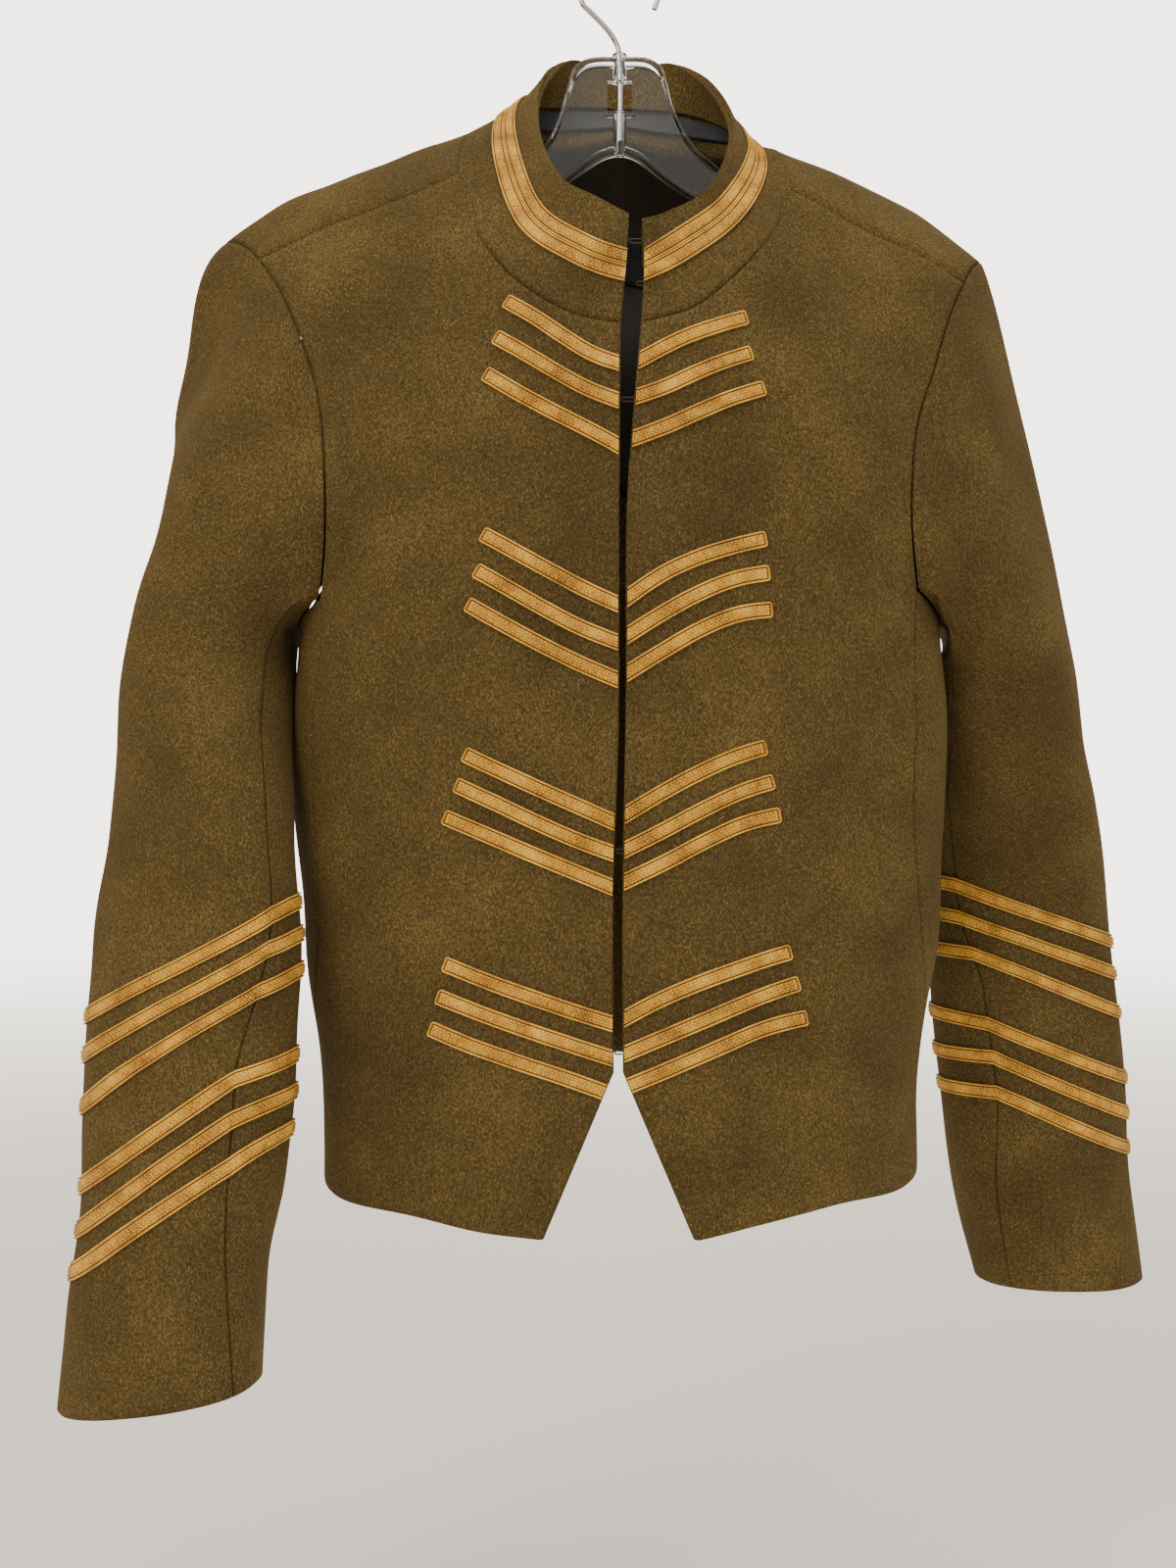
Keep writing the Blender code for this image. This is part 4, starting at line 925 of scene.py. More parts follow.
    @classmethod
    def front_grid(cls, side: Side) -> tuple[Array, Array]:
        """Outer face of a front: rows from hem to shoulder, columns from the front edge outwards.

        Args:
            side: Side of the jacket.

        Returns:
            Points and normals.
        """
        seam = cls.seam(side)
        arm = cls.in_angles(along(side.arm, ARM_FRONT_CELLS * FINE))
        outer = np.concatenate([seam, arm[1:]])
        notch = along([side.notch, side.edge[-1]], NOTCH_CELLS * FINE)
        inner = along(side.edge[::-1], len(outer) - 1 - NOTCH_CELLS * FINE)
        inner = cls.in_angles(np.concatenate([notch, inner[1:]]))
        neck = cls.in_angles(along(side.neck, NECK_CELLS * FINE))
        shoulder = cls.in_angles(along([side.neck[-1], side.tip], SHOULDER_CELLS * FINE))
        top = np.concatenate([neck, shoulder[1:]])
        ends = np.linspace(inner[0, 0], seam[0, 0], len(top))
        bottom = np.stack([ends, cls.hem_level(ends)], axis=1)
        bottom[0], bottom[-1] = inner[0], seam[0]
        grid = patch(bottom, top, inner, outer)
        points, out = facing(cls.torso, grid[..., 0], grid[..., 1])
        return drape(points, out, BODY_FOLDS), out

    @classmethod
    def side_grid(cls, side: Side) -> tuple[Array, Array]:
        """Outer face of a side panel: rows from hem to armhole, columns from front to back seam.

        Args:
            side: Side of the jacket.

        Returns:
            Points and normals.
        """
        front, back = cls.seam(side), cls.side_back(side)
        share = np.linspace(0, 1, ARM_SIDE_CELLS * FINE + 1)
        hem = front[0, 0] + (back[0, 0] - front[0, 0]) * share
        bottom = np.stack([hem, cls.hem_level(hem)], axis=1)
        bottom[0], bottom[-1] = front[0], back[0]
        under = np.array([side.sign * math.pi / 2, UNDERARM_Z])
        top = along([front[-1], under, back[-1]], ARM_SIDE_CELLS * FINE)
        grid = patch(bottom, top, front, back)
        points, out = facing(cls.torso, grid[..., 0], grid[..., 1])
        return drape(points, out, BODY_FOLDS), out

    @classmethod
    def back_edge(cls, side: Side) -> Array:
        """Outer edge of one half of the back, as X and turn, from hem to shoulder tip.

        Args:
            side: Side of the jacket.

        Returns:
            Rows of X and turn.
        """
        seam = cls.side_back(side)
        points = cls.torso(seam[:, 0], seam[:, 1])
        seam_edge = cls.in_turns(points[:, 0], points[:, 2], False)
        arm_x = side.sign * column(ARMHOLE_BACK, ARMHOLE_BACK_COLUMNS, "x_" + side.name)
        arm_turn = cls.turn_of(column(ARMHOLE_BACK, ARMHOLE_BACK_COLUMNS, "drop_" + side.name), False)
        arm = np.stack([arm_x, arm_turn], axis=1) * TURN_SCALE
        arm = along(arm, ARM_BACK_CELLS * FINE) / TURN_SCALE
        tip = np.array([side.tip[0], float(cls.turn_of(cls.ridge(side.tip[0]) - side.tip[1], True))])
        ridge_point = [side.sign * ARMHOLE_RIDGE[side.name] * MM, 0.0]
        over_top = [arm[-1] * TURN_SCALE, ridge_point, tip * TURN_SCALE]
        over_top = along(over_top, ARM_TOP_CELLS * FINE) / TURN_SCALE
        return np.concatenate([seam_edge, arm[1:], over_top[1:]])

    @classmethod
    def back_grid(cls) -> tuple[Array, Array]:
        """Outer face of the back: rows from hem over the shoulders, columns from left to right.

        Returns:
            Points and normals.
        """
        left, right = cls.back_edge(LEFT), cls.back_edge(RIGHT)

        def shoulder(side: Side) -> Array:
            """Shoulder seam of a side, as X and turn."""
            line = along([side.neck[-1], side.tip], SHOULDER_CELLS * FINE)
            return cls.in_turns(line[:, 0], line[:, 1], True)

        from_left, from_right = shoulder(LEFT), shoulder(RIGHT)
        centre = float(cls.turn_of(NECK_BACK_DROP, False))
        left_points, right_points = (
            np.array(table) * (MM, 1) for table in (NECK_BACK_LEFT, NECK_BACK_RIGHT)
        )
        neck = np.array([from_left[0], *left_points, [0, centre], *right_points, from_right[0]])
        neck = along(neck * TURN_SCALE, BACK_NECK_CELLS * FINE) / TURN_SCALE
        top = np.concatenate([from_left[::-1], neck[1:-1], from_right])
        first = -math.radians(SIDE_BACK_DEGREES)
        angles = first - np.linspace(0, 1, len(top)) * (2 * math.pi + 2 * first)
        angles = np.where(angles < -math.pi, angles + 2 * math.pi, angles)
        points = cls.torso(angles, cls.hem_level(angles))
        bottom = cls.in_turns(points[:, 0], points[:, 2], False)
        bottom[0], bottom[-1] = left[0], right[0]
        grid = patch(bottom, top, left, right)
        points, out = facing(cls.over, grid[..., 0], grid[..., 1])
        return drape(points, out, BODY_FOLDS), out


# ---------------------------------------------------------------- form of the sleeves

@dataclass(frozen=True)
class SleeveForm:
    """The surface of one sleeve, set into its armhole."""

    side: Side

    @property
    def table(self) -> Sequence:
        """Sections of this sleeve."""
        return SLEEVE_LEFT if self.side.sign < 0 else SLEEVE_RIGHT

    def sizes(self, level: Array) -> Array:
        """Row of the table at a level counted from the bicep down.

        Args:
            level: Level below the origin, in metres.

        Returns:
            Values of the columns, in millimetres and degrees.
        """
        return smooth(level, -column(self.table, SLEEVE_COLUMNS, "z"), np.array(self.table, float))

    def ring(self, level: float, degrees: Array) -> Array:
        """Points of a ring: 0 degrees in front, 90 on the outer edge, 180 behind.

        Args:
            level: Level below the origin, in metres.
            degrees: Angles round the ring.

        Returns:
            Points, in metres.
        """
        z, x, y, half_long, half_deep, turn, tilt, _ = self.sizes(np.asarray(level))
        a = np.radians(degrees)
        s, c = np.sin(a), np.cos(a)
        r = (np.abs(s) ** SLEEVE_SQUARENESS + np.abs(c) ** SLEEVE_SQUARENESS) ** (-1 / SLEEVE_SQUARENESS)
        out, ahead = half_long * r * s, half_deep * r * c
        t = np.radians(turn)
        px = self.side.sign * (out * np.cos(t) + ahead * np.sin(t))
        py = out * np.sin(t) - ahead * np.cos(t)
        return np.stack([x + px, y + py, z + tilt * px], axis=-1) * MM

    def degrees(self, level: float) -> Array:
        """Angle of each column at a level, with the two seams at fixed columns.

        Args:
            level: Level below the origin, in metres.

        Returns:
            One angle for each column.
        """
        front = float(self.sizes(np.asarray(level))[-1])
        top = np.linspace(90, front, ARM_FRONT_CELLS * FINE + 1)
        under = np.linspace(front, BACK_SEAM - 360, ARM_SIDE_CELLS * FINE + 1)
        back = np.linspace(BACK_SEAM - 360, -270, (ARM_BACK_CELLS + ARM_TOP_CELLS) * FINE + 1)
        return np.concatenate([top, under[1:], back[1:-1]])

    def armhole(self) -> tuple[Array, Array, Array]:
        """Ring of the armhole, the body's normals there and how far each point is under the arm.

        Returns:
            Points, normals and shares.
        """
        column_of = 0 if self.side.sign < 0 else -1
        rings = []
        parts = zip(BodyForm.front_grid(self.side), BodyForm.side_grid(self.side), BodyForm.back_grid())
        for front, under, back in parts:
            front, back = front[SEAM_CELLS * FINE :, -1][::-1], back[SEAM_CELLS * FINE :, column_of]
            rings.append(np.concatenate([front, under[-1][1:], back[1:-1]]))
        first = ARM_FRONT_CELLS
        last = ARM_FRONT_CELLS + ARM_SIDE_CELLS
        near, far = UNDERARM_SHARES
        knots = [0, first - 3, first - 2, first - 1, first, last, last + 1, last + 2, last + 3, 99]
        shares = [0, 0, far, near, 1, 1, near, far, 0, 0]
        under_arm = np.interp(np.arange(len(rings[0])) / FINE, knots, shares)
        return rings[0], rings[1], under_arm

    def grid(self) -> tuple[Array, Array]:
        """Outer face and normals: rows from armhole to cuff, columns round the ring.

        Returns:
            Points and normals.
        """
        ring, body_out, under_arm = self.armhole()
        name, sign = self.side.name, self.side.sign
        round_ring = np.roll(ring, -1, axis=0) - np.roll(ring, 1, axis=0)
        away = unit(np.cross(body_out, round_ring) * sign)
        lean = (under_arm * math.pi / 2)[:, None]
        start = away * np.cos(lean) + body_out * np.sin(lean)
        first_level, last_level = -self.table[0][0], -self.table[-1][0]
        levels = np.linspace(first_level, last_level, SLEEVE_CELLS * SLEEVE_FINE + 1) * MM
        tube = np.stack([self.ring(level, self.degrees(level)) for level in levels])
        down = unit(tube[2] - tube[0])
        gap = np.linalg.norm(tube[0] - ring, axis=1, keepdims=True)
        seat = ring + start * SEAM_GAP
        leave = gap * (CAP_OUT[name] + (UNDERARM_OUT - CAP_OUT[name]) * under_arm[:, None]) * start
        shares = np.linspace(0, 1, SLEEVE_CAP_CELLS * SLEEVE_FINE + 1)[:-1]
        beside = (np.arange(len(ring)) + len(ring) // 2) % len(ring) - len(ring) // 2
        near_top = np.exp(-(((beside / FINE + 0.5) / CAP_SWELL_COLUMNS) ** 2))
        shoulder = near_top[:, None] * np.array([CAP_SWELL[name] * sign, 0, 0])
        cap = np.stack(
            [
                hermite(t, seat, tube[0], leave, gap * CAP_DOWN[name] * down)
                + math.exp(-(((t - CAP_SWELL_AT) / CAP_SWELL_SHARE) ** 2)) * shoulder
                for t in shares
            ]
        )
        grid = np.concatenate([cap, tube])
        out = normals(grid, wrap=True) * sign
        taper = np.clip(np.arange(len(grid)) / (SLEEVE_CAP_CELLS * SLEEVE_FINE * 0.8), 0, 1)[:, None, None]
        draped = grid + (drape(grid, out, SLEEVE_FOLDS) - grid) * taper
        out = normals(draped, wrap=True) * sign
        out[0] = unit(np.cross(start, round_ring) * -sign)
        return draped, out


# ---------------------------------------------------------------- form of the collar

class CollarForm:
    """The surface of the stand collar, from the neckline over the bend to its top rim."""

    @staticmethod
    def neck_ring() -> list[Array]:
        """Neckline of the body and its normals, from left centre front round to the right.

        Returns:
            Points and normals.
        """
        rings = []
        parts = zip(BodyForm.front_grid(LEFT), BodyForm.front_grid(RIGHT), BodyForm.back_grid())
        count = NECK_CELLS * FINE
        for left, right, back in parts:
            across = back[-1, SHOULDER_CELLS * FINE : (SHOULDER_CELLS + BACK_NECK_CELLS) * FINE + 1]
            rings.append(np.concatenate([left[-1, : count + 1], across[1:-1], right[-1, : count + 1][::-1]]))
        return rings

    @classmethod
    def grid(cls) -> tuple[Array, Array]:
        """Outer face and normals: rows from the neckline to the rim, columns round the neck.

        Returns:
            Points and normals.
        """
        ring, _ = cls.neck_ring()
        length = running_length(ring)
        u = length / length[-1]
        knots = column(COLLAR, COLLAR_COLUMNS, "u", 1)
        sizes = np.array(COLLAR, float)[:, 1:] * MM
        bend = smooth_open(u, knots, sizes[:, :3])
        top = smooth_open(u, knots, sizes[:, 3:])
        rows = sum(COLLAR_CELLS) + 1
        grid = np.empty((rows, len(ring), 3))
        steps = np.concatenate([[0], np.cumsum(COLLAR_CELLS)])
        for k, ends in enumerate(zip(ring, bend, top)):
            middle = 100
            share = np.linspace(0, 1, 2 * middle + 1)
            dense = smooth_open(share, np.array([0, 0.5, 1.0]), np.stack(ends))
            run = running_length(dense)
            bend_at = run[middle]
            marks = [0, bend_at - COLLAR_TAPE_STEP, bend_at, bend_at + COLLAR_TAPE_STEP, run[-1]]
            at = np.interp(np.arange(rows), steps, marks)
            grid[:, k] = np.stack([np.interp(at, run, dense[:, axis]) for axis in range(3)], axis=1)
        return grid, -normals(grid)


# ---------------------------------------------------------------- colours and nodes

def linear(code: str) -> tuple[float, float, float, float]:
    """sRGB hex as linear RGBA.

    Args:
        code: Colour as #rrggbb.

    Returns:
        Red, green, blue and alpha.
    """
    values = [int(code[k : k + 2], 16) / 255 for k in (1, 3, 5)]
    r, g, b = (v / 12.92 if v <= 0.04045 else ((v + 0.055) / 1.055) ** 2.4 for v in values)
    return r, g, b, 1.0


def give(tree: bpy.types.NodeTree, node: bpy.types.Node, inputs: dict) -> None:
    """Set or link a node's inputs.

    Args:
        tree: The node tree.
        node: The node.
        inputs: Input name or index, to a socket or a value.
    """
    for key, value in inputs.items():
        if isinstance(value, bpy.types.NodeSocket):
            tree.links.new(value, node.inputs[key])
        else:
            node.inputs[key].default_value = value


def add_node(
    tree: bpy.types.NodeTree, kind: str, inputs: dict | None = None, **settings
) -> bpy.types.Node:
    """Add a node with its settings and inputs.

    Args:
        tree: The node tree.
        kind: The node's type name.
        inputs: Input name or index, to a socket or a value.
        **settings: Properties of the node.

    Returns:
        The node.
    """
    node = tree.nodes.new(kind)
    for name, value in settings.items():
        setattr(node, name, value)
    give(tree, node, inputs or {})
    return node


def math_node(tree: bpy.types.NodeTree, operation: str, *values) -> bpy.types.NodeSocket:
    """A calculation on sockets and numbers.

    Args:
        tree: The node tree.
        operation: Name of the calculation.
        *values: What it works on, in the order of its inputs.

    Returns:
        The socket of the result.
    """
    inputs = dict(enumerate(values))
    return add_node(tree, "ShaderNodeMath", inputs, operation=operation).outputs[0]


def noise(
    tree: bpy.types.NodeTree,
    place: bpy.types.NodeSocket,
    size_mm: float,
    detail: float,
    rough: float = 0.5,
) -> bpy.types.NodeSocket:
    """Noise whose largest patches are of a real size.

    Args:
        tree: The node tree.
        place: Where it is read.
        size_mm: Size of the patches.
        detail: Number of finer layers.
        rough: Share of the finer layers.

    Returns:
        The socket of its value.
    """
    inputs = {"Vector": place, "Scale": 1 / (size_mm * MM), "Detail": detail, "Roughness": rough}
    return add_node(tree, "ShaderNodeTexNoise", inputs).outputs["Fac"]


def rescale(
    tree: bpy.types.NodeTree,
    value: bpy.types.NodeSocket,
    start: float,
    end: float,
    low: float = 0.0,
    high: float = 1.0,
) -> bpy.types.NodeSocket:
    """A value moved from one range to another, and kept in it.

    Args:
        tree: The node tree.
        value: The socket of the value.
        start: Value that becomes low.
        end: Value that becomes high.
        low: Least result.
        high: Greatest result.

    Returns:
        The socket of the result.
    """
    inputs = {"Value": value, "From Min": start, "From Max": end, "To Min": low, "To Max": high}
    return add_node(tree, "ShaderNodeMapRange", inputs).outputs[0]


def relief(
    tree: bpy.types.NodeTree,
    height: bpy.types.NodeSocket,
    depth_mm: float,
    strength: float,
    under: bpy.types.NodeSocket | None = None,
) -> bpy.types.NodeSocket:
    """Fine relief of a surface.

    Args:
        tree: The node tree.
        height: Height from 0 to 1.
        depth_mm: Real height of 1.
        strength: Share of the relief that is shown.
        under: Coarser relief that this one lies on.

    Returns:
        The socket of the normal.
    """
    inputs = {"Height": height, "Distance": depth_mm * MM, "Strength": strength}
    if under is not None:
        inputs["Normal"] = under
    return add_node(tree, "ShaderNodeBump", inputs).outputs[0]


def ramp(
    tree: bpy.types.NodeTree, fac: bpy.types.NodeSocket, stops: Sequence[tuple[float, str]]
) -> bpy.types.NodeSocket:
    """Colour ramp of sRGB hex stops.

    Args:
        tree: The node tree.
        fac: What drives the ramp.
        stops: Place and colour of each stop, rising.

    Returns:
        The colour socket.
    """
    node = add_node(tree, "ShaderNodeValToRGB", {"Fac": fac})
    elements = node.color_ramp.elements
    while len(elements) < len(stops):
        elements.new(0.5)
    for element, (place, code) in zip(elements, stops):
        element.position = place
        element.color = linear(code)
    return node.outputs["Color"]


def object_place(tree: bpy.types.NodeTree) -> bpy.types.NodeSocket:
    """Place on the object, in metres.

    Args:
        tree: The node tree.

    Returns:
        The socket of the place.
    """
    return add_node(tree, "ShaderNodeTexCoord").outputs["Object"]


def new_material(name: str) -> tuple[bpy.types.Material, bpy.types.NodeTree, bpy.types.Node]:
    """A material, its tree and its Principled node.

    Args:
        name: Its name.

    Returns:
        The material, its tree and its shader.
    """
    made = bpy.data.materials.new(name)
    made.use_nodes = True
    tree = made.node_tree
    return made, tree, tree.nodes["Principled BSDF"]


@dataclass(frozen=True)
class MilledWool:
    """Milled wool coating: felted, raised nap of mixed fibres, matt with a soft sheen."""

    name: str = "milled_wool"
    dark: str = "#2f2410"
    middle: str = "#4d3e20"
    light: str = "#7f6d3c"
    fibre_mm: float = 0.7
    fleck_mm: float = 1.3
    cloud_mm: float = 55.0
    nap_height_mm: float = 0.6

    def make(self) -> bpy.types.Material:
        """Build the material.

        Returns:
            The material.
        """
        made, tree, shader = new_material(self.name)
        place = object_place(tree)
        # The nap is brushed downwards, so the fibre noise is drawn out along Z.
        drawn = {"Vector": place, "Scale": (1.0, 1.0, 0.45)}
        brushed = add_node(tree, "ShaderNodeMapping", drawn).outputs[0]
        fibre = noise(tree, brushed, self.fibre_mm, 4.0, 0.65)
        # Lighter and darker fibres felt together into flecks that show from a step away.
        fleck = noise(tree, place, self.fleck_mm, 3.0, 0.7)
        # Wear and handling leave slow changes of tone.
        cloud = noise(tree, place, self.cloud_mm, 2.0)
        mixed = math_node(tree, "MULTIPLY_ADD", fleck, 0.6, fibre)
        mixed = math_node(tree, "MULTIPLY_ADD", cloud, 0.28, mixed)
        # The noises gather near their middle, so the ramp is spread over what they reach.
        scaled = rescale(tree, mixed, 0.62, 1.26)
        colour = ramp(tree, scaled, ((0.1, self.dark), (0.5, self.middle), (0.9, self.light)))
        felt = relief(tree, fleck, 0.45, 0.6)
        # Almost no gloss: the sheen stands for fibre ends that catch light at a slant.
        look = {
            "Base Color": colour,
            "Normal": relief(tree, fibre, self.nap_height_mm, 0.8, felt),
            "Roughness": 0.93,
            "Specular IOR Level": 0.18,
            "Sheen Weight": 0.14,
            "Sheen Roughness": 0.55,
            "Sheen Tint": linear("#b99c58"),
        }
        give(tree, shader, look)
        return made


@dataclass(frozen=True)
class WovenBraid:
    """Flat military braid of twisted viscose: tan, slightly lustrous, plaited between two cords."""

    name: str = "military_braid"
    dark: str = "#7c5011"
    middle: str = "#d39a2e"
    light: str = "#ffd55c"
    strand_mm: float = 1.5

    def make(self) -> bpy.types.Material:
        """Build the material.

        Returns:
            The material.
        """
        made, tree, shader = new_material(self.name)
        # The map counts millimetres along the braid and across it.
        cloth_map = add_node(tree, "ShaderNodeUVMap", uv_map="braid").outputs[0]
        run, width = add_node(tree, "ShaderNodeSeparateXYZ", {0: cloth_map}).outputs[:2]
        # Small chevrons side by side: each rib of the plait leans to and fro over half a strand.
        slant = math_node(tree, "PINGPONG", width, self.strand_mm / 2)
        lean = math_node(tree, "ADD", slant, run)
        turn = math_node(tree, "MULTIPLY", lean, 2 * math.pi / self.strand_mm)
        wave = math_node(tree, "SINE", turn)
        place = object_place(tree)
        # Single fibres, and slow fading along the braid.
        mixed = math_node(tree, "ADD", noise(tree, place, 0.8, 3.0), noise(tree, place, 14, 2.0))
        # The ribs run along the braid, with a dark line of crossings between them.
        ribbed = math_node(tree, "MULTIPLY_ADD", slant, 0.8 / self.strand_mm, mixed)
        strands = math_node(tree, "MULTIPLY_ADD", wave, 0.2, ribbed)
        scaled = rescale(tree, strands, 0.72, 1.68)
        colour = ramp(tree, scaled, ((0.05, self.dark), (0.5, self.middle), (0.95, self.light)))
        # Painted shade: the colour is darkened in the grooves, where shade falls; the attribute is 0 in a
        # groove and 1 on a strand.
        high = add_node(tree, "ShaderNodeAttribute", attribute_name="relief").outputs["Fac"]
        painted_groove_shade = ramp(tree, high, ((0.08, "#8c6d48"), (0.7, "#ffffff")))
        # The painted groove shade multiplies the braid's colour.
        both = {0: 1.0, 6: colour, 7: painted_groove_shade}
        deep = add_node(tree, "ShaderNodeMix", both, data_type="RGBA", blend_type="MULTIPLY")
        # Twisted viscose has a low lustre.
        look = {
            "Base Color": deep.outputs[2],
            "Normal": relief(tree, strands, 0.3, 0.7),
            "Roughness": 0.62,
            "Specular IOR Level": 0.3,
            "Sheen Weight": 0.05,
        }
        give(tree, shader, look)
        return made


@dataclass(frozen=True)
class SmoothLining:
    """Close-woven lining or tape: dark, fine threads, a low satin gloss."""

    name: str
    base: str
    thread_mm: float = 0.9
    roughness: float = 0.45

    def make(self) -> bpy.types.Material:
        """Build the material.

        Returns:
            The material.
        """
        made, tree, shader = new_material(self.name)
        place = object_place(tree)
        # Real threads are under 0.3 mm: they are drawn coarser so that the weave shows.
        threads = {"Vector": place, "Scale": 0.16 / (self.thread_mm * MM), "Distortion": 1.5}
        weave = add_node(tree, "ShaderNodeTexWave", threads, bands_direction="Z").outputs["Fac"]
        bright = math_node(tree, "MULTIPLY_ADD", noise(tree, place, 25, 3.0), 1.2, 0.4)
        cloudy = {"Color": linear(self.base), "Value": bright}
        look = {
            "Base Color": add_node(tree, "ShaderNodeHueSaturation", cloudy).outputs[0],
            "Normal": relief(tree, weave, 0.15, 0.4),
            "Roughness": self.roughness,
        }
        give(tree, shader, look)
        return made


@dataclass(frozen=True)
class ClearPlastic:
    """Injection-moulded clear styrene: glossy, a trace of haze from handling."""

    name: str = "clear_styrene"
    tint: str = "#f4f7f8"
    ior: float = 1.49

    def make(self) -> bpy.types.Material:
        """Build the material.

        Returns:
            The material.
        """
        made, tree, shader = new_material(self.name)
        scuff = noise(tree, object_place(tree), 6, 5.0)
        look = {
            "Roughness": rescale(tree, scuff, 0, 1, 0.0, 0.05),
            "Base Color": linear(self.tint),
            "Transmission Weight": 1.0,
            "IOR": self.ior,
        }
        give(tree, shader, look)
        return made


@dataclass(frozen=True)
class DrawnWire:
    """Drawn steel wire, bright or blackened, with fine draw marks."""

    name: str
    base: str
    roughness: float

    def make(self) -> bpy.types.Material:
        """Build the material.

        Returns:
            The material.
        """
        made, tree, shader = new_material(self.name)
        marks = noise(tree, object_place(tree), 2, 4.0)
        look = {
            "Roughness": rescale(tree, marks, 0, 1, self.roughness * 0.6, self.roughness * 1.5),
            "Base Color": linear(self.base),
            "Metallic": 1.0,
        }
        give(tree, shader, look)
        return made


class Finishes:
    """Every finish of the object, made once."""

    def __init__(self) -> None:
        """Build the materials."""
        self.wool = MilledWool().make()
        self.braid = WovenBraid().make()
        self.lining = SmoothLining("olive_lining", "#2f291a").make()
        self.tape = SmoothLining("navy_tape", "#20222a", roughness=0.6).make()
        self.label = SmoothLining("label_satin", "#16171b", roughness=0.5).make()
        self.plastic = ClearPlastic().make()
        self.hook = DrawnWire("bright_wire", "#c9c9c8", 0.22).make()
        self.fastener = DrawnWire("blackened_wire", "#3b3530", 0.35).make()


# ---------------------------------------------------------------- meshes

def new_piece(
    name: str, points: Array, faces: Array | list, finish: bpy.types.Material, smooth_angle: float = 55
) -> bpy.types.Object:
    """A mesh object at the origin.

    Args:
        name: Name of the piece.
        points: Vertices, in metres.
        faces: Faces as vertex numbers.
        finish: Its material.
        smooth_angle: Sharper edges than this stay sharp, in degrees.

    Returns:
        The object.
    """
    mesh = bpy.data.meshes.new(name)
    mesh.from_pydata(np.asarray(points).tolist(), [], faces if isinstance(faces, list) else faces.tolist())
    mesh.update()
    mesh.shade_smooth()
    if smooth_angle < 180:
        mesh.set_sharp_from_angle(angle=math.radians(smooth_angle))
    obj = bpy.data.objects.new(name, mesh)
    mesh.materials.append(finish)
    bpy.context.scene.collection.objects.link(obj)
    return obj


def cells(rows: int, cols: int, wrap: bool = False) -> Array:
    """Quads of a grid of points.

    Args:
        rows: Rows of points.
        cols: Columns of points.
        wrap: Whether the columns close into a ring.

    Returns:
        Rows of four vertex numbers.
    """
    i, j = np.meshgrid(np.arange(rows - 1), np.arange(cols if wrap else cols - 1), indexing="ij")
    k = (j + 1) % cols
    quads = np.stack([i * cols + j, i * cols + k, (i + 1) * cols + k, (i + 1) * cols + j], axis=-1)
    return quads.reshape(-1, 4)


def cloth_wall(
    name: str,
    outer: Array,
    out: Array,
    thick: float | Array,
    finish: bpy.types.Material,
    turned: bool = False,
) -> bpy.types.Object:
    """A closed cloth wall with rolled edges on a grid of points.

    Args:
        name: Name of the piece.
        outer: Outer face.
        out: Its normals.
        thick: Thickness of the cloth.
        finish: Its material.
        turned: Whether the columns run the other way round, so that the faces point out.

    Returns:
        The object.
    """
    inner = outer - out * thick
    # A row close beside each border keeps the roll of the edge narrow.
    marks = [
        np.concatenate([[0, EDGE_ROW], np.arange(1, size - 1), [size - 1 - EDGE_ROW, size - 1]])
        for size in outer.shape[:2]
    ]
    outer, inner = on_grid(outer, *marks), on_grid(inner, *marks)
    if turned:
        outer, inner = outer[:, ::-1], inner[:, ::-1]
    rows, cols = outer.shape[:2]
    border = [(0, j) for j in range(cols)]
    border += [(i, cols - 1) for i in range(1, rows)]
    border += [(rows - 1, j) for j in range(cols - 2, -1, -1)]
    border += [(i, 0) for i in range(rows - 2, 0, -1)]
    index = np.array(border)
    inward = np.stack([np.clip(index[:, 0], 1, rows - 2), np.clip(index[:, 1], 1, cols - 2)], axis=1)
    at = (index[:, 0], index[:, 1])
    step = unit(outer[at] - outer[inward[:, 0], inward[:, 1]])
    deep = np.linalg.norm(outer - inner, axis=-1)[at][:, None]
    middle = (outer[at] + inner[at]) / 2 + step * EDGE_BULGE * deep
    outer, inner = outer.copy(), inner.copy()
    shoulder = (outer[at] - inner[at]) * EDGE_ROLL
    outer[at] -= step * EDGE_DRAW * deep + shoulder
    inner[at] -= step * EDGE_DRAW * deep - shoulder
    count = rows * cols
    quads = cells(rows, cols)
    back = quads[:, [0, 3, 2, 1]] + count
    here = index[:, 0] * cols + index[:, 1]
    there = np.roll(here, -1)
    mid = 2 * count + np.arange(len(here))
    mid_next = np.roll(mid, -1)
    front_rim = np.stack([there, here, mid, mid_next], axis=1)
    back_rim = np.stack([mid_next, mid, here + count, there + count], axis=1)
    points = np.concatenate([outer.reshape(-1, 3), inner.reshape(-1, 3), middle])
    faces = [quads, back, front_rim, back_rim]
    return new_piece(name, points, np.concatenate(faces), finish, smooth_angle=80)


def dress(obj: bpy.types.Object, slot: str, *nodes: str) -> bpy.types.Object:
    """Let a piece ride on the body and stand for its nodes, hiding their solids.

    Args:
        obj: The piece.
        slot: Not used.
        *nodes: Solids that it stands for.

    Returns:
        The same piece.
    """
    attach(obj, "root")
    if nodes:
        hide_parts(*nodes)
    return obj


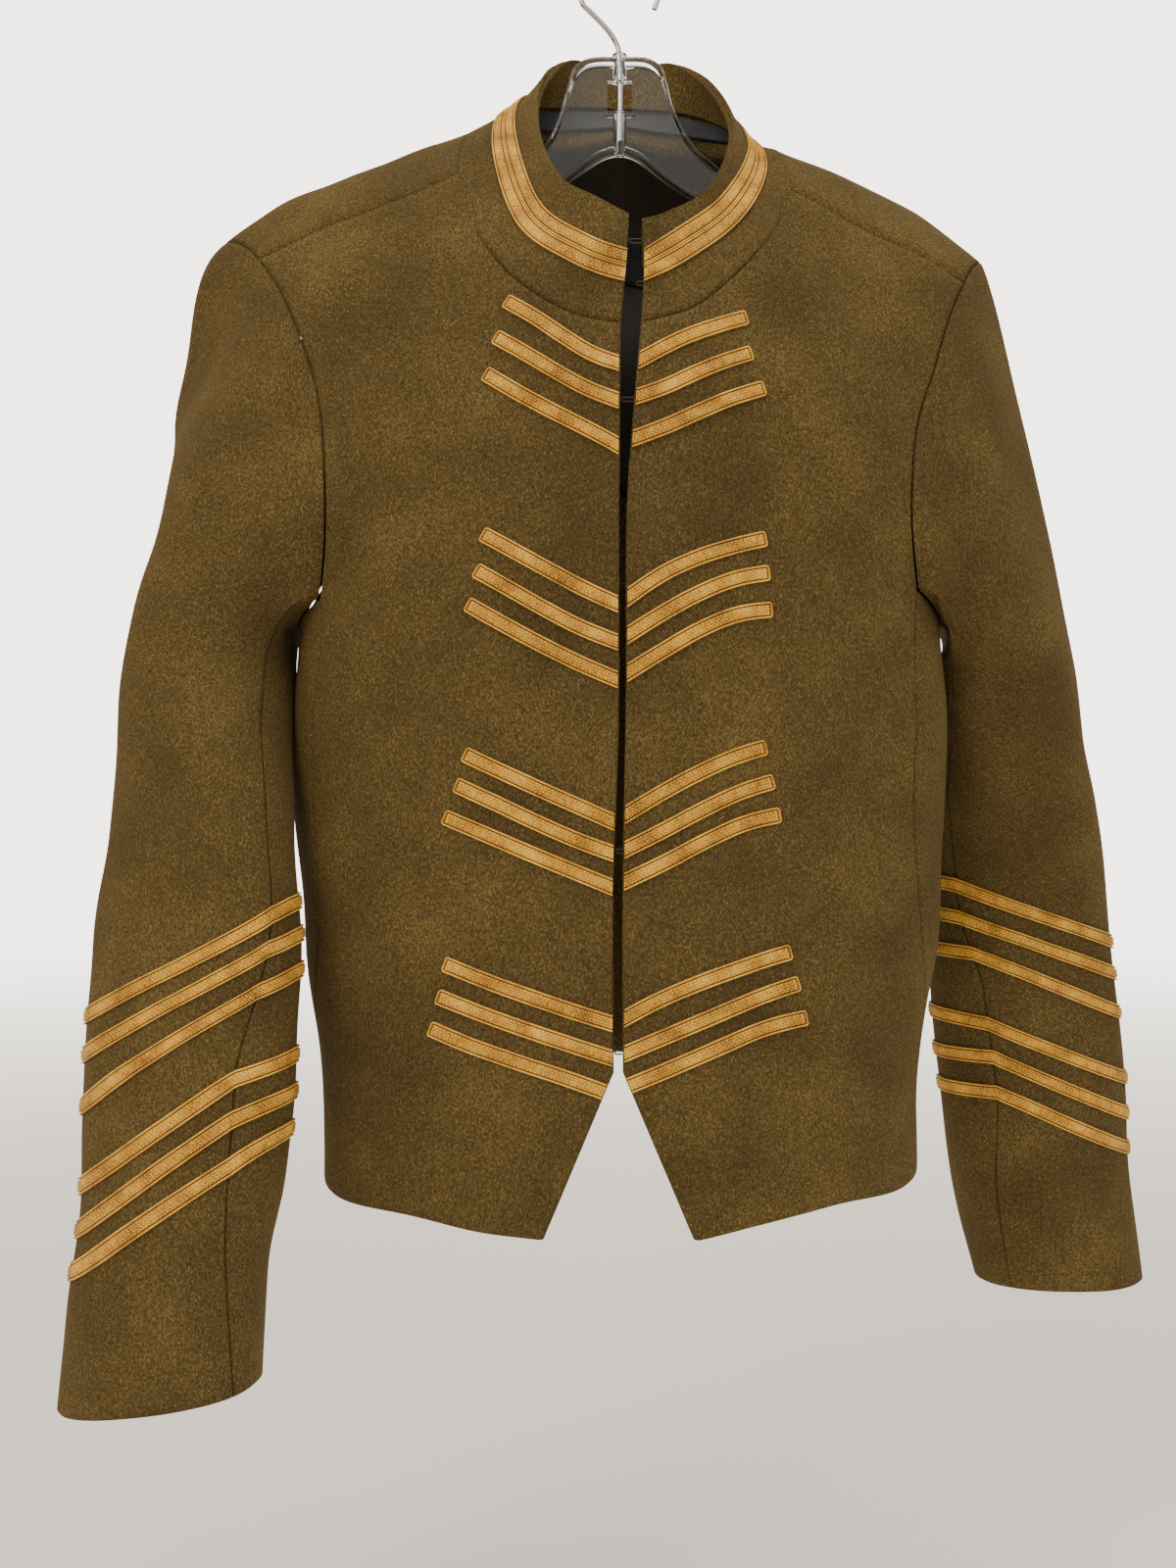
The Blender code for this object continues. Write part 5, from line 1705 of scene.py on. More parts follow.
def on_grid(grid: Array, rows: Array, columns: Array) -> Array:
    """Points on the flat cells of a grid.

    Args:
        grid: The grid.
        rows: Fractions of its rows.
        columns: Fractions of its columns.

    Returns:
        A smaller grid, rows by columns.
    """
    i = np.clip(np.floor(rows).astype(int), 0, len(grid) - 2)
    j = np.clip(np.floor(columns).astype(int), 0, grid.shape[1] - 2)
    v, u = (rows - i)[:, None, None], (columns - j)[None, :, None]
    low = (1 - u) * grid[i][:, j] + u * grid[i][:, j + 1]
    high = (1 - u) * grid[i + 1][:, j] + u * grid[i + 1][:, j + 1]
    return (1 - v) * low + v * high


def inset(grid: Array, amount: float | Array, sides: Sequence[str]) -> Array:
    """The grid with its named borders drawn in, for the gap at a seam.

    Args:
        grid: Rows and columns of points.
        amount: How far they are drawn in, in metres.
        sides: Names of the borders.

    Returns:
        The drawn-in grid.
    """
    out = grid.copy()
    for name in sides:
        edge, inner = {
            "bottom": (np.s_[0, :], np.s_[1, :]),
            "top": (np.s_[-1, :], np.s_[-2, :]),
            "left": (np.s_[:, 0], np.s_[:, 1]),
            "right": (np.s_[:, -1], np.s_[:, -2]),
        }[name]
        out[edge] += amount * unit(grid[inner] - grid[edge])
    return out


# ---------------------------------------------------------------- flat braid

@dataclass(frozen=True)
class FlatBraid:
    """Flat braid: two edge cords, a groove inside each and a plaited middle.

    Relief is the height at a distance in from the nearest edge, in mm and in shares of the
    thickness.
    """

    relief_mm: tuple[float, ...] = (0.0, 0.25, 0.7, 1.05, 1.3, 1.65, 1.95, 2.5, 4.5)
    relief: tuple[float, ...] = (0.42, 0.82, 0.88, 0.66, 0.32, 0.32, 0.8, 1.0, 1.0)
    corner_mm: float = 2.0
    stitch_pitch_mm: float = 2.3
    columns_mm: tuple[float, ...] = (0.0, 0.25, 0.7, 1.05, 1.3, 1.65, 1.95, 2.5, 3.5)
    end_rows_mm: tuple[float, ...] = (0.0, 0.25, 0.5, 0.75, 1.05, 1.3, 1.65, 1.95, 2.5)
    strand_places: tuple[float, ...] = (-0.42, -0.21, 0.0, 0.21, 0.42)
    strand_seat: float = 0.93
    first_strand_mm: float = 2.6
    last_strand_mm: float = 0.8
    last_shifted_mm: float = 0.6
    bare_end_mm: float = 2.4

    def across(self) -> Array:
        """Places across the braid, from -1 to 1, dense at the cords.

        Returns:
            Places, rising.
        """
        half = BRAID_WIDTH / 2 / MM
        left = np.array(self.columns_mm) / half - 1
        return np.concatenate([left, [0.0], -left[::-1]])

    def end_steps(self) -> Array:
        """Distances from a free end at which sections lie, in metres.

        Returns:
            Distances, rising.
        """
        return np.array(self.end_rows_mm) * MM

    def half_width(self, from_end: Array) -> Array:
        """Half width at a distance from a free end with rounded corners.

        Args:
            from_end: Distance from the free end, in metres.

        Returns:
            Half widths, in metres.
        """
        corner = self.corner_mm * MM
        s = np.clip(from_end, 0, corner)
        return BRAID_WIDTH / 2 - corner + np.sqrt(np.maximum(corner**2 - (corner - s) ** 2, 0))

    def height(self, from_side: Array) -> Array:
        """Height over the cloth at a distance in from the nearest edge, in metres.

        Args:
            from_side: Distance from the nearest edge, in metres.

        Returns:
            Heights, in metres.
        """
        return np.interp(from_side / MM, self.relief_mm, self.relief) * BRAID_THICK

    def mesh(
        self,
        name: str,
        base: Array,
        out: Array,
        from_end: Array,
        finish: bpy.types.Material,
        ring: bool = False,
    ) -> bpy.types.Object:
        """Build a braid on points of the cloth.

        Args:
            name: Name of the piece.
            base: Points of the cloth under the braid, rows along it and columns across.
            out: Normals there.
            from_end: Distance of each row from a free end, in metres.
            finish: Its material.
            ring: Whether it closes into a ring.

        Returns:
            The object.
        """
        rows, cols = base.shape[:2]
        v = self.across()
        half = self.half_width(from_end)[:, None]
        side = np.minimum(half - np.abs(v)[None] * half, from_end[:, None])
        high = self.height(side)
        top = base + out * (BRAID_LIFT + high)[..., None]
        low = base + out * BRAID_LIFT
        count = rows * cols
        quads = cells(rows, cols)
        if ring:
            last = (rows - 1) * cols
            j = np.arange(cols - 1)
            quads = np.concatenate([quads, np.stack([last + j, last + j + 1, j + 1, j], axis=1)])
        faces = [quads, quads[:, ::-1] + count]
        row = np.arange(rows if ring else rows - 1)
        after = (row + 1) % rows
        for j, turned in ((0, False), (cols - 1, True)):
            here, there = row * cols + j, after * cols + j
            rim = np.stack([here, there, there + count, here + count], axis=1)
            faces.append(rim if turned else rim[:, ::-1])
        if not ring:
            j = np.arange(cols - 1)
            for i, turned in ((0, True), (rows - 1, False)):
                here = i * cols + j
                rim = np.stack([here, here + 1, here + 1 + count, here + count], axis=1)
                faces.append(rim if turned else rim[:, ::-1])
        points = np.concatenate([top.reshape(-1, 3), low.reshape(-1, 3)])
        obj = new_piece(name, points, np.concatenate(faces), finish, smooth_angle=70)
        self.attributes(obj, base, high)
        return obj

    def attributes(self, obj: bpy.types.Object, base: Array, high: Array) -> None:
        """Give a braid its map in millimetres and its relief.

        Args:
            obj: The piece.
            base: Points of the cloth under the braid.
            high: Height of each point over the braid's underside.
        """
        rows, cols = base.shape[:2]
        run = running_length(base[:, cols // 2]) / MM
        u = np.broadcast_to(run[:, None], (rows, cols)).ravel()
        v = np.broadcast_to(self.across()[None] * BRAID_WIDTH / 2 / MM, (rows, cols)).ravel()
        mesh = obj.data
        corner = np.empty(len(mesh.loops), np.int32)
        mesh.loops.foreach_get("vertex_index", corner)
        corner = corner % (rows * cols)
        layer = mesh.uv_layers.new(name="braid")
        layer.data.foreach_set("uv", np.stack([u[corner], v[corner]], axis=1).astype(np.float32).ravel())
        # The relief share also sets the painted groove shade in the braid material.
        relief = mesh.attributes.new("relief", "FLOAT", "POINT")
        share = np.clip((high / BRAID_THICK - 0.3) / 0.7, 0, 1).ravel()
        relief.data.foreach_set("value", np.concatenate([share, share]).astype(np.float32))

    def stitch_seats(self, base: Array, out: Array, from_end: Array) -> tuple[Array, Array, Array, Array]:
        """Where the plait's strands lie on the middle of the braid.

        Args:
            base: Points of the cloth under the braid.
            out: Normals there.
            from_end: Distance of each row from a free end.

        Returns:
            Points, normals, directions along the braid and leans of the strands.
        """
        v = self.across()
        leans = (-1.0) ** np.arange(len(self.strand_places))
        pitch = self.stitch_pitch_mm * MM
        found = []
        for place, lean in zip(self.strand_places, leans):
            line = np.stack([[np.interp(place, v, row[:, k]) for k in range(3)] for row in base])
            face = unit(np.stack([[np.interp(place, v, row[:, k]) for k in range(3)] for row in out]))
            run = running_length(line)
            at = np.arange(self.first_strand_mm * MM, run[-1] - self.last_strand_mm * MM, pitch)
            if lean < 0:
                at = at + pitch / 2
            clear = np.interp(at, run, from_end) > self.bare_end_mm * MM
            at = at[(at < run[-1] - self.last_shifted_mm * MM) & clear]
            spot = np.stack([np.interp(at, run, line[:, k]) for k in range(3)], axis=1)
            up = unit(np.stack([np.interp(at, run, face[:, k]) for k in range(3)], axis=1))
            ahead = np.stack([np.interp(at, run, np.gradient(line[:, k], run)) for k in range(3)], axis=1)
            seat = spot + up * (BRAID_LIFT + BRAID_THICK * self.strand_seat)
            found.append((seat, up, unit(ahead), np.full(len(at), lean)))
        return tuple(np.concatenate([part[k] for part in found]) for k in range(4))


@dataclass(frozen=True)
class PlaitStrands:
    """Strands of the braid's plaited middle, laid by Geometry Nodes on their seats."""

    length_mm: float = 2.9
    width_mm: float = 0.85
    height_mm: float = 0.5
    slant_degrees: float = 27

    def tree(self) -> bpy.types.NodeTree:
        """Build the node tree.

        Returns:
            The node tree.
        """
        tree = bpy.data.node_groups.new("plait_strands", "GeometryNodeTree")
        face = tree.interface
        face.new_socket("Seats", in_out="INPUT", socket_type="NodeSocketGeometry")
        for name in ("Length", "Width", "Height", "Slant"):
            face.new_socket(name, in_out="INPUT", socket_type="NodeSocketFloat")
        face.new_socket("Finish", in_out="INPUT", socket_type="NodeSocketMaterial")
        face.new_socket("Strands", in_out="OUTPUT", socket_type="NodeSocketGeometry")
        given = add_node(tree, "NodeGroupInput").outputs
        sizes = {k: given[name] for k, name in enumerate(("Length", "Width", "Height"))}
        size = add_node(tree, "ShaderNodeCombineXYZ", sizes)
        bead = add_node(tree, "GeometryNodeMeshIcoSphere", {"Radius": 0.5, "Subdivisions": 1})
        shape = {"Geometry": bead.outputs["Mesh"], "Scale": size.outputs[0]}
        strand = add_node(tree, "GeometryNodeTransform", shape)
        up, ahead, lean = (
            add_node(
                tree, "GeometryNodeInputNamedAttribute", {"Name": name}, data_type=kind
            ).outputs["Attribute"]
            for name, kind in (("up", "FLOAT_VECTOR"), ("ahead", "FLOAT_VECTOR"), ("lean", "FLOAT"))
        )
        aligned = add_node(
            tree,
            "FunctionNodeAxesToRotation",
            {0: up, 1: ahead},
            primary_axis="Z",
            secondary_axis="X",
        )
        angle = math_node(tree, "MULTIPLY", lean, given["Slant"])
        turned = {"Axis": (0, 0, 1), "Angle": angle}
        turn = add_node(tree, "FunctionNodeAxisAngleToRotation", turned)
        both = {0: aligned.outputs[0], 1: turn.outputs[0]}
        placed = add_node(tree, "FunctionNodeRotateRotation", both, rotation_space="LOCAL")
        vary = add_node(tree, "FunctionNodeRandomValue", {2: 0.85, 3: 1.15, "Seed": 7}, data_type="FLOAT")
        laid = add_node(
            tree,
            "GeometryNodeInstanceOnPoints",
            {
                "Points": given["Seats"],
                "Instance": strand.outputs[0],
                "Rotation": placed.outputs[0],
                "Scale": vary.outputs[1],
            },
        )
        real = add_node(tree, "GeometryNodeRealizeInstances", {0: laid.outputs[0]})
        # The strands get a relief of 0.85, so that the braid material's painted groove shade leaves them at
        # full colour.
        raised = add_node(
            tree,
            "GeometryNodeStoreNamedAttribute",
            {"Geometry": real.outputs[0], "Name": "relief", "Value": 0.85},
            data_type="FLOAT",
            domain="POINT",
        )
        finish = {0: raised.outputs[0], "Material": given["Finish"]}
        dressed = add_node(tree, "GeometryNodeSetMaterial", finish)
        add_node(tree, "NodeGroupOutput", {0: dressed.outputs[0]})
        return tree

    def make(self, name: str, seats: list[tuple], finish: bpy.types.Material) -> bpy.types.Object:
        """Lay the strands of several braids as one piece.

        Args:
            name: Name of the piece.
            seats: What FlatBraid.stitch_seats gives, one for each braid.
            finish: Their material.

        Returns:
            The object.
        """
        spots, up, ahead, lean = (np.concatenate([seat[k] for seat in seats]) for k in range(4))
        mesh = bpy.data.meshes.new(name + "_seats")
        mesh.from_pydata(spots.tolist(), [], [])
        for title, values in (("up", up), ("ahead", ahead)):
            layer = mesh.attributes.new(title, "FLOAT_VECTOR", "POINT")
            layer.data.foreach_set("vector", values.astype(np.float32).ravel())
        mesh.attributes.new("lean", "FLOAT", "POINT").data.foreach_set("value", lean.astype(np.float32))
        holder = bpy.data.objects.new(name + "_seats", mesh)
        bpy.context.scene.collection.objects.link(holder)
        modifier = holder.modifiers.new("Plait", "NODES")
        modifier.node_group = self.tree()
        values = {
            "Length": self.length_mm * MM,
            "Width": self.width_mm * MM,
            "Height": self.height_mm * MM,
            "Slant": math.radians(self.slant_degrees),
            "Finish": finish,
        }
        for item in modifier.node_group.interface.items_tree:
            if item.in_out == "INPUT" and item.name in values:
                modifier[item.identifier] = values[item.name]
        bpy.context.view_layer.update()
        result = bpy.data.meshes.new_from_object(holder.evaluated_get(bpy.context.evaluated_depsgraph_get()))
        bpy.data.objects.remove(holder, do_unlink=True)
        result.name = name
        result.shade_smooth()
        obj = bpy.data.objects.new(name, result)
        bpy.context.scene.collection.objects.link(obj)
        return obj


# ---------------------------------------------------------------- sub-assemblies

@dataclass
class Fronts:
    """The two fronts with their chevron braids."""

    finishes: Finishes
    braid: FlatBraid = FlatBraid()
    row_step: float = 2.2 * MM

    def edge_x(self, side: Side, z: Array) -> Array:
        """X of the front edge at a level, notch and all.

        Args:
            side: Side of the jacket.
            z: Level, in metres.

        Returns:
            X of the edge.
        """
        path = np.concatenate([[side.notch], side.edge[::-1]])
        return np.interp(z, path[:, 1], path[:, 0])

    def braid_base(self, side: Side, row: Sequence[float]) -> tuple[Array, Array, Array]:
        """Points of the cloth under one chevron braid.

        Args:
            side: Side of the jacket.
            row: Row of the braid table.

        Returns:
            Points, normals and distances of the rows from the free end.
        """
        x, levels = row[0] * MM, np.array(row[1:], float)[:, None] * MM
        x_front = float(self.edge_x(side, levels[-1, 0])) + side.sign * BRAID_EDGE_MARGIN
        share = np.linspace(0, 1, 200)
        level = smooth_open(share * 4, np.arange(5.0), levels)[:, 0]
        middle = np.stack([x + (x_front - x) * share, level], axis=1)
        run = running_length(middle)
        ends = self.braid.end_steps()
        rest = np.linspace(ends[-1], run[-1], int((run[-1] - ends[-1]) / self.row_step) + 2)[1:]
        at = np.concatenate([ends, rest])
        line = np.stack([np.interp(at, run, middle[:, k]) for k in range(2)], axis=1)
        ahead = unit(np.gradient(middle, axis=0))
        ahead = unit(np.stack([np.interp(at, run, ahead[:, k]) for k in range(2)], axis=1))
        across = np.stack([-ahead[:, 1], ahead[:, 0]], axis=1) * -side.sign
        half = self.braid.half_width(at)
        place = line[:, None] + across[:, None] * (self.braid.across()[None, :, None] * half[:, None, None])
        near = np.clip((at - (run[-1] - BRAID_TRIM)) / BRAID_TRIM, 0, 1)[:, None]
        limit = self.edge_x(side, place[..., 1]) + side.sign * BRAID_EDGE_MARGIN
        end_shift = (limit[-1] - place[-1, :, 0])[None] * near
        slope = (ahead[-1, 1] / ahead[-1, 0]) * end_shift
        place[..., 0] += end_shift
        place[..., 1] += slope
        points, out = BodyForm.front_point(place[..., 0], place[..., 1])
        return points, out, at

    def build(self) -> list[bpy.types.Object]:
        """Build the fronts and their braids.

        Returns:
            The pieces.
        """
        made = []
        for side in (LEFT, RIGHT):
            seats, pieces = [], []
            for number, row in enumerate(FRONT_BRAIDS[side.name], 1):
                points, out, at = self.braid_base(side, row)
                node = f"front_braid_{side.name}_{number:02d}"
                obj = self.braid.mesh("tan_" + node, points, out, at, self.finishes.braid)
                pieces.append(dress(obj, "tan_braid", node))
                seats.append(self.braid.stitch_seats(points, out, at))
            strands = PlaitStrands().make(f"front_plait_{side.name}", seats, self.finishes.braid)
            pieces.append(dress(strands, "tan_braid"))
            grid, out = BodyForm.front_grid(side)
            outer = inset(grid, SEAM_GAP / 2, ("top", "right"))
            name, wool = f"wool_front_{side.name}", self.finishes.wool
            panel = cloth_wall(name, outer, out, CLOTH, wool, side.sign < 0)
            dress(panel, "olive_wool", f"front_{side.name}")
            made += pieces + [panel]
        return made


@dataclass
class Backs:
    """Back and side panels."""

    finishes: Finishes

    def build(self) -> list[bpy.types.Object]:
        """Build the back and the two side panels.

        Returns:
            The pieces.
        """
        grid, out = BodyForm.back_grid()
        outer = inset(grid, SEAM_GAP / 2, ("top", "left", "right"))
        back = cloth_wall("wool_back", outer, out, CLOTH, self.finishes.wool, True)
        dress(back, "olive_wool", "back")
        made = [back]
        for side in (LEFT, RIGHT):
            grid, out = BodyForm.side_grid(side)
            outer = inset(grid, SEAM_GAP / 2, ("top", "left", "right"))
            name, wool = f"wool_side_{side.name}", self.finishes.wool
            panel = cloth_wall(name, outer, out, CLOTH, wool, side.sign < 0)
            made.append(dress(panel, "olive_wool", f"side_{side.name}"))
        return made


@dataclass
class Sleeves:
    """Two-piece sleeves with their rings of braid."""

    finishes: Finishes
    braid: FlatBraid = FlatBraid()

    @staticmethod
    def levels(ring: Array, sign: int, row: Sequence[float]) -> Array:
        """Level of a braid's middle line at each column of a ring.

        It runs straight from the outer edge to the front seam and on to the inner edge in front,
        and straight from edge to edge behind.

        Args:
            ring: Points of the ring.
            sign: Side of the jacket, -1 or 1.
            row: Row of the braid table, in millimetres.

        Returns:
            Levels, in metres.
        """
        outer, seam, inner = (value * MM for value in row)
        away = ring[:, 0] * sign
        last, first = int(np.argmin(away)), int(np.argmax(away))
        middle = away[ARM_FRONT_CELLS * FINE]
        in_front = np.interp(away, [away[last], middle, away[first]], [inner, seam, outer])
        behind = np.interp(away, [away[last], away[first]], [inner, outer])
        columns = np.arange(len(ring))
        ahead = columns <= last if first == 0 else (columns <= last) | (columns >= first)
        if 0 < first < last:
            ahead = (columns >= first) & (columns <= last)
        return np.where(ahead, in_front, behind)

    @staticmethod
    def read(tube: Array, values: Array, levels: Array) -> Array:
        """Values of the tube's grid at a level of each column.

        Args:
            tube: Rows and columns of the tube's points.
            values: What is read, one for each point.
            levels: Level of each column, in metres.

        Returns:
            One row for each column.
        """
        columns = np.arange(tube.shape[1])
        rows = np.arange(len(tube))
        at = np.array([np.interp(-levels[k], -tube[:, k, 2], rows) for k in columns])
        i = np.clip(at.astype(int), 0, len(tube) - 2)
        t = (at - i)[:, None]
        return (1 - t) * values[i, columns] + t * values[i + 1, columns]

    def braid_base(
        self, side: Side, tube: Array, out: Array, row: Sequence[float]
    ) -> tuple[Array, Array, Array]:
        """Points of the sleeve under one ring of braid.

        Args:
            side: Side of the jacket.
            tube: The sleeve's outer face below the cap.
            out: Normals there.
            row: Row of the braid table.

        Returns:
            Points, normals and distances of the rows from a free end, which there is none of.
        """
        count = tube.shape[1]
        middle = self.levels(self.read(tube, tube, np.full(count, row[0] * MM)), side.sign, row)
        line = self.read(tube, tube, middle)
        rise = unit(np.roll(line, -1, axis=0) - np.roll(line, 1, axis=0))[:, 2]
        half = BRAID_WIDTH / 2 / np.sqrt(np.maximum(1 - rise**2, 0.25))
        levels = middle[:, None] - self.braid.across()[None] * half[:, None]
        places = range(levels.shape[1])
        points = np.stack([self.read(tube, tube, levels[:, k]) for k in places], axis=1)
        facings = np.stack([self.read(tube, out, levels[:, k]) for k in places], axis=1)
        return points, unit(facings), np.full(count, 1.0)

    def build(self) -> list[bpy.types.Object]:
        """Build both sleeves and their braids.

        Returns:
            The pieces.
        """
        made = []
        for side in (LEFT, RIGHT):
            form = SleeveForm(side)
            grid, out = form.grid()
            tube = slice(SLEEVE_CAP_CELLS * SLEEVE_FINE, None)
            seats, pieces = [], []
            for number, row in enumerate(SLEEVE_BRAIDS[side.name], 1):
                points, facings, at = self.braid_base(side, grid[tube], out[tube], row)
                if side.sign > 0:
                    points, facings = points[::-1], facings[::-1]
                node = f"sleeve_braid_{side.name}_{number}"
                obj = self.braid.mesh("tan_" + node, points, facings, at, self.finishes.braid, ring=True)
                pieces.append(dress(obj, "tan_braid", node))
                seats.append(self.braid.stitch_seats(points, facings, at))
            strands = PlaitStrands().make(f"sleeve_plait_{side.name}", seats, self.finishes.braid)
            pieces.append(dress(strands, "tan_braid"))
            first, last = ARM_FRONT_CELLS * FINE, (ARM_FRONT_CELLS + ARM_SIDE_CELLS) * FINE
            count = grid.shape[1]
            under = np.arange(first, last + 1)
            top = np.arange(last, count + first + 1) % count
            for name, columns in (("top_sleeve", top), ("under_sleeve", under)):
                part = inset(grid[::-1, columns], SEAM_GAP / 2, ("left", "right"))
                title, wool = f"wool_{name}_{side.name}", self.finishes.wool
                obj = cloth_wall(title, part, out[::-1, columns], CLOTH, wool, side.sign > 0)
                made.append(dress(obj, "olive_wool", f"{name}_{side.name}"))
            made += pieces
        return made


@dataclass
class Neck:
    """Stand collar with its braids, tape band, lining and label."""

    finishes: Finishes
    braid: FlatBraid = FlatBraid()
    band_rows: tuple[float, float] = (0.6, 1.7)
    band_margin: int = 7
    band_samples: int = 11
    lining_cells: int = 5
    label_columns: tuple[float, float] = (8.35, 9.65)
    label_rows: tuple[float, float] = (-1.75, -1.25)
    label_samples: tuple[int, int] = (7, 13)
    closing: float = 3.0 * MM
    loose_gap: float = 1.1 * MM
    lining_gap: float = 0.85 * MM
    label_thick: float = 0.8 * MM

    def build(self) -> list[bpy.types.Object]:
        """Build everything at the neck.

        Returns:
            The pieces.
        """
        grid, out = CollarForm.grid()
        made = [self.outer_collar(grid, out), self.inner_collar(grid, out)]
        made += self.braids(grid, out)
        made.append(self.tape_band(grid, out))
        made += self.back_lining()
        return made

    def tape_band(self, grid: Array, out: Array) -> bpy.types.Object:
        """Tape band over the seam inside the back of the collar.

        Args:
            grid: Rows and columns of points.
            out: Its normals.

        Returns:
            The piece.
        """
        steps = np.cumsum((0,) + COLLAR_CELLS)
        rows = np.interp(np.linspace(*self.band_rows, self.band_samples), np.arange(len(steps)), steps)
        first = self.band_margin * FINE
        columns = np.arange(first, grid.shape[1] - first)
        seat = on_grid(grid - out * (CLOTH + self.loose_gap), rows, columns)
        facings = unit(on_grid(out, rows, columns))
        obj = cloth_wall("tape_neck_band", seat, facings, LINING, self.finishes.tape, True)
        dress(obj, "navy_tape", "neck_band")
        return obj

    def back_lining(self) -> list[bpy.types.Object]:
        """Lining inside the back below the neck, and the bare label loop on it.

        Returns:
            The pieces.
        """
        grid, out = BodyForm.back_grid()
        first, last = (SHOULDER_CELLS + 1) * FINE, (SHOULDER_CELLS + BACK_NECK_CELLS - 1) * FINE + 1
        part = np.s_[-(self.lining_cells * FINE + 1) :, first:last]
        seat = (grid - out * (CLOTH + self.lining_gap))[part]
        lining = cloth_wall("lining_back_neck", seat, out[part], LINING, self.finishes.lining, True)
        dress(lining, "olive_lining", "neck_lining")
        rows = len(grid) - 1 + np.linspace(*self.label_rows, self.label_samples[0]) * FINE
        columns = np.linspace(*self.label_columns, self.label_samples[1]) * FINE
        deep = CLOTH + self.lining_gap + LINING + self.loose_gap
        seat = on_grid(grid - out * deep, rows, columns)
        facings = unit(on_grid(out, rows, columns))
        label = cloth_wall("label_loop", seat, facings, self.label_thick, self.finishes.label, True)
        dress(label, "navy_tape", "neck_label")
        return [lining, label]

    def outer_collar(self, grid: Array, out: Array) -> bpy.types.Object:
        """Outer collar.

        Args:
            grid: Rows and columns of points.
            out: Its normals.

        Returns:
            The piece.
        """
        seat = grid.copy()
        # Where the collar stands up from the body its edge reaches into the angle and closes it.
        turned = np.linalg.norm(np.cross(out[0], CollarForm.neck_ring()[1]), axis=1, keepdims=True)
        seat[0] += unit(grid[1] - grid[0]) * (SEAM_GAP - self.closing * turned)
        obj = cloth_wall("wool_collar_outer", seat, out, CLOTH, self.finishes.wool, True)
        dress(obj, "olive_wool", "collar_outer")
        return obj

    def inner_collar(self, grid: Array, out: Array) -> bpy.types.Object:
        """Inner collar, from the rim down to the tape band.

        Args:
            grid: Rows and columns of points.
            out: Its normals.

        Returns:
            The piece.
        """
        start = sum(COLLAR_CELLS[:2])
        part = (grid - out * (CLOTH + SEAM_GAP))[start:]
        obj = cloth_wall("wool_collar_inner", part, out[start:], CLOTH, self.finishes.wool, True)
        dress(obj, "olive_wool", "collar_inner")
        return obj

    def braids(self, grid: Array, out: Array) -> list[bpy.types.Object]:
        """Two rows of braid side by side round the collar.

        Args:
            grid: Rows and columns of points.
            out: Its normals.

        Returns:
            The pieces.
        """
        made, seats = [], []
        steps = np.cumsum((0,) + COLLAR_CELLS)
        v = (self.braid.across() + 1) / 2
        for name, first in (("lower", steps[1]), ("upper", steps[2])):
            rows = first + v * COLLAR_CELLS[1]
            columns = np.arange(grid.shape[1])
            points = on_grid(grid, rows, columns).transpose(1, 0, 2)
            facings = unit(on_grid(out, rows, columns).transpose(1, 0, 2))
            at = np.full(len(points), 1.0)
            node = f"collar_braid_{name}"
            obj = self.braid.mesh("tan_" + node, points[::-1], facings[::-1], at, self.finishes.braid)
            made.append(dress(obj, "tan_braid", node))
            seats.append(self.braid.stitch_seats(points, facings, at))
        made.append(dress(PlaitStrands().make("collar_plait", seats, self.finishes.braid), "tan_braid"))
        return made


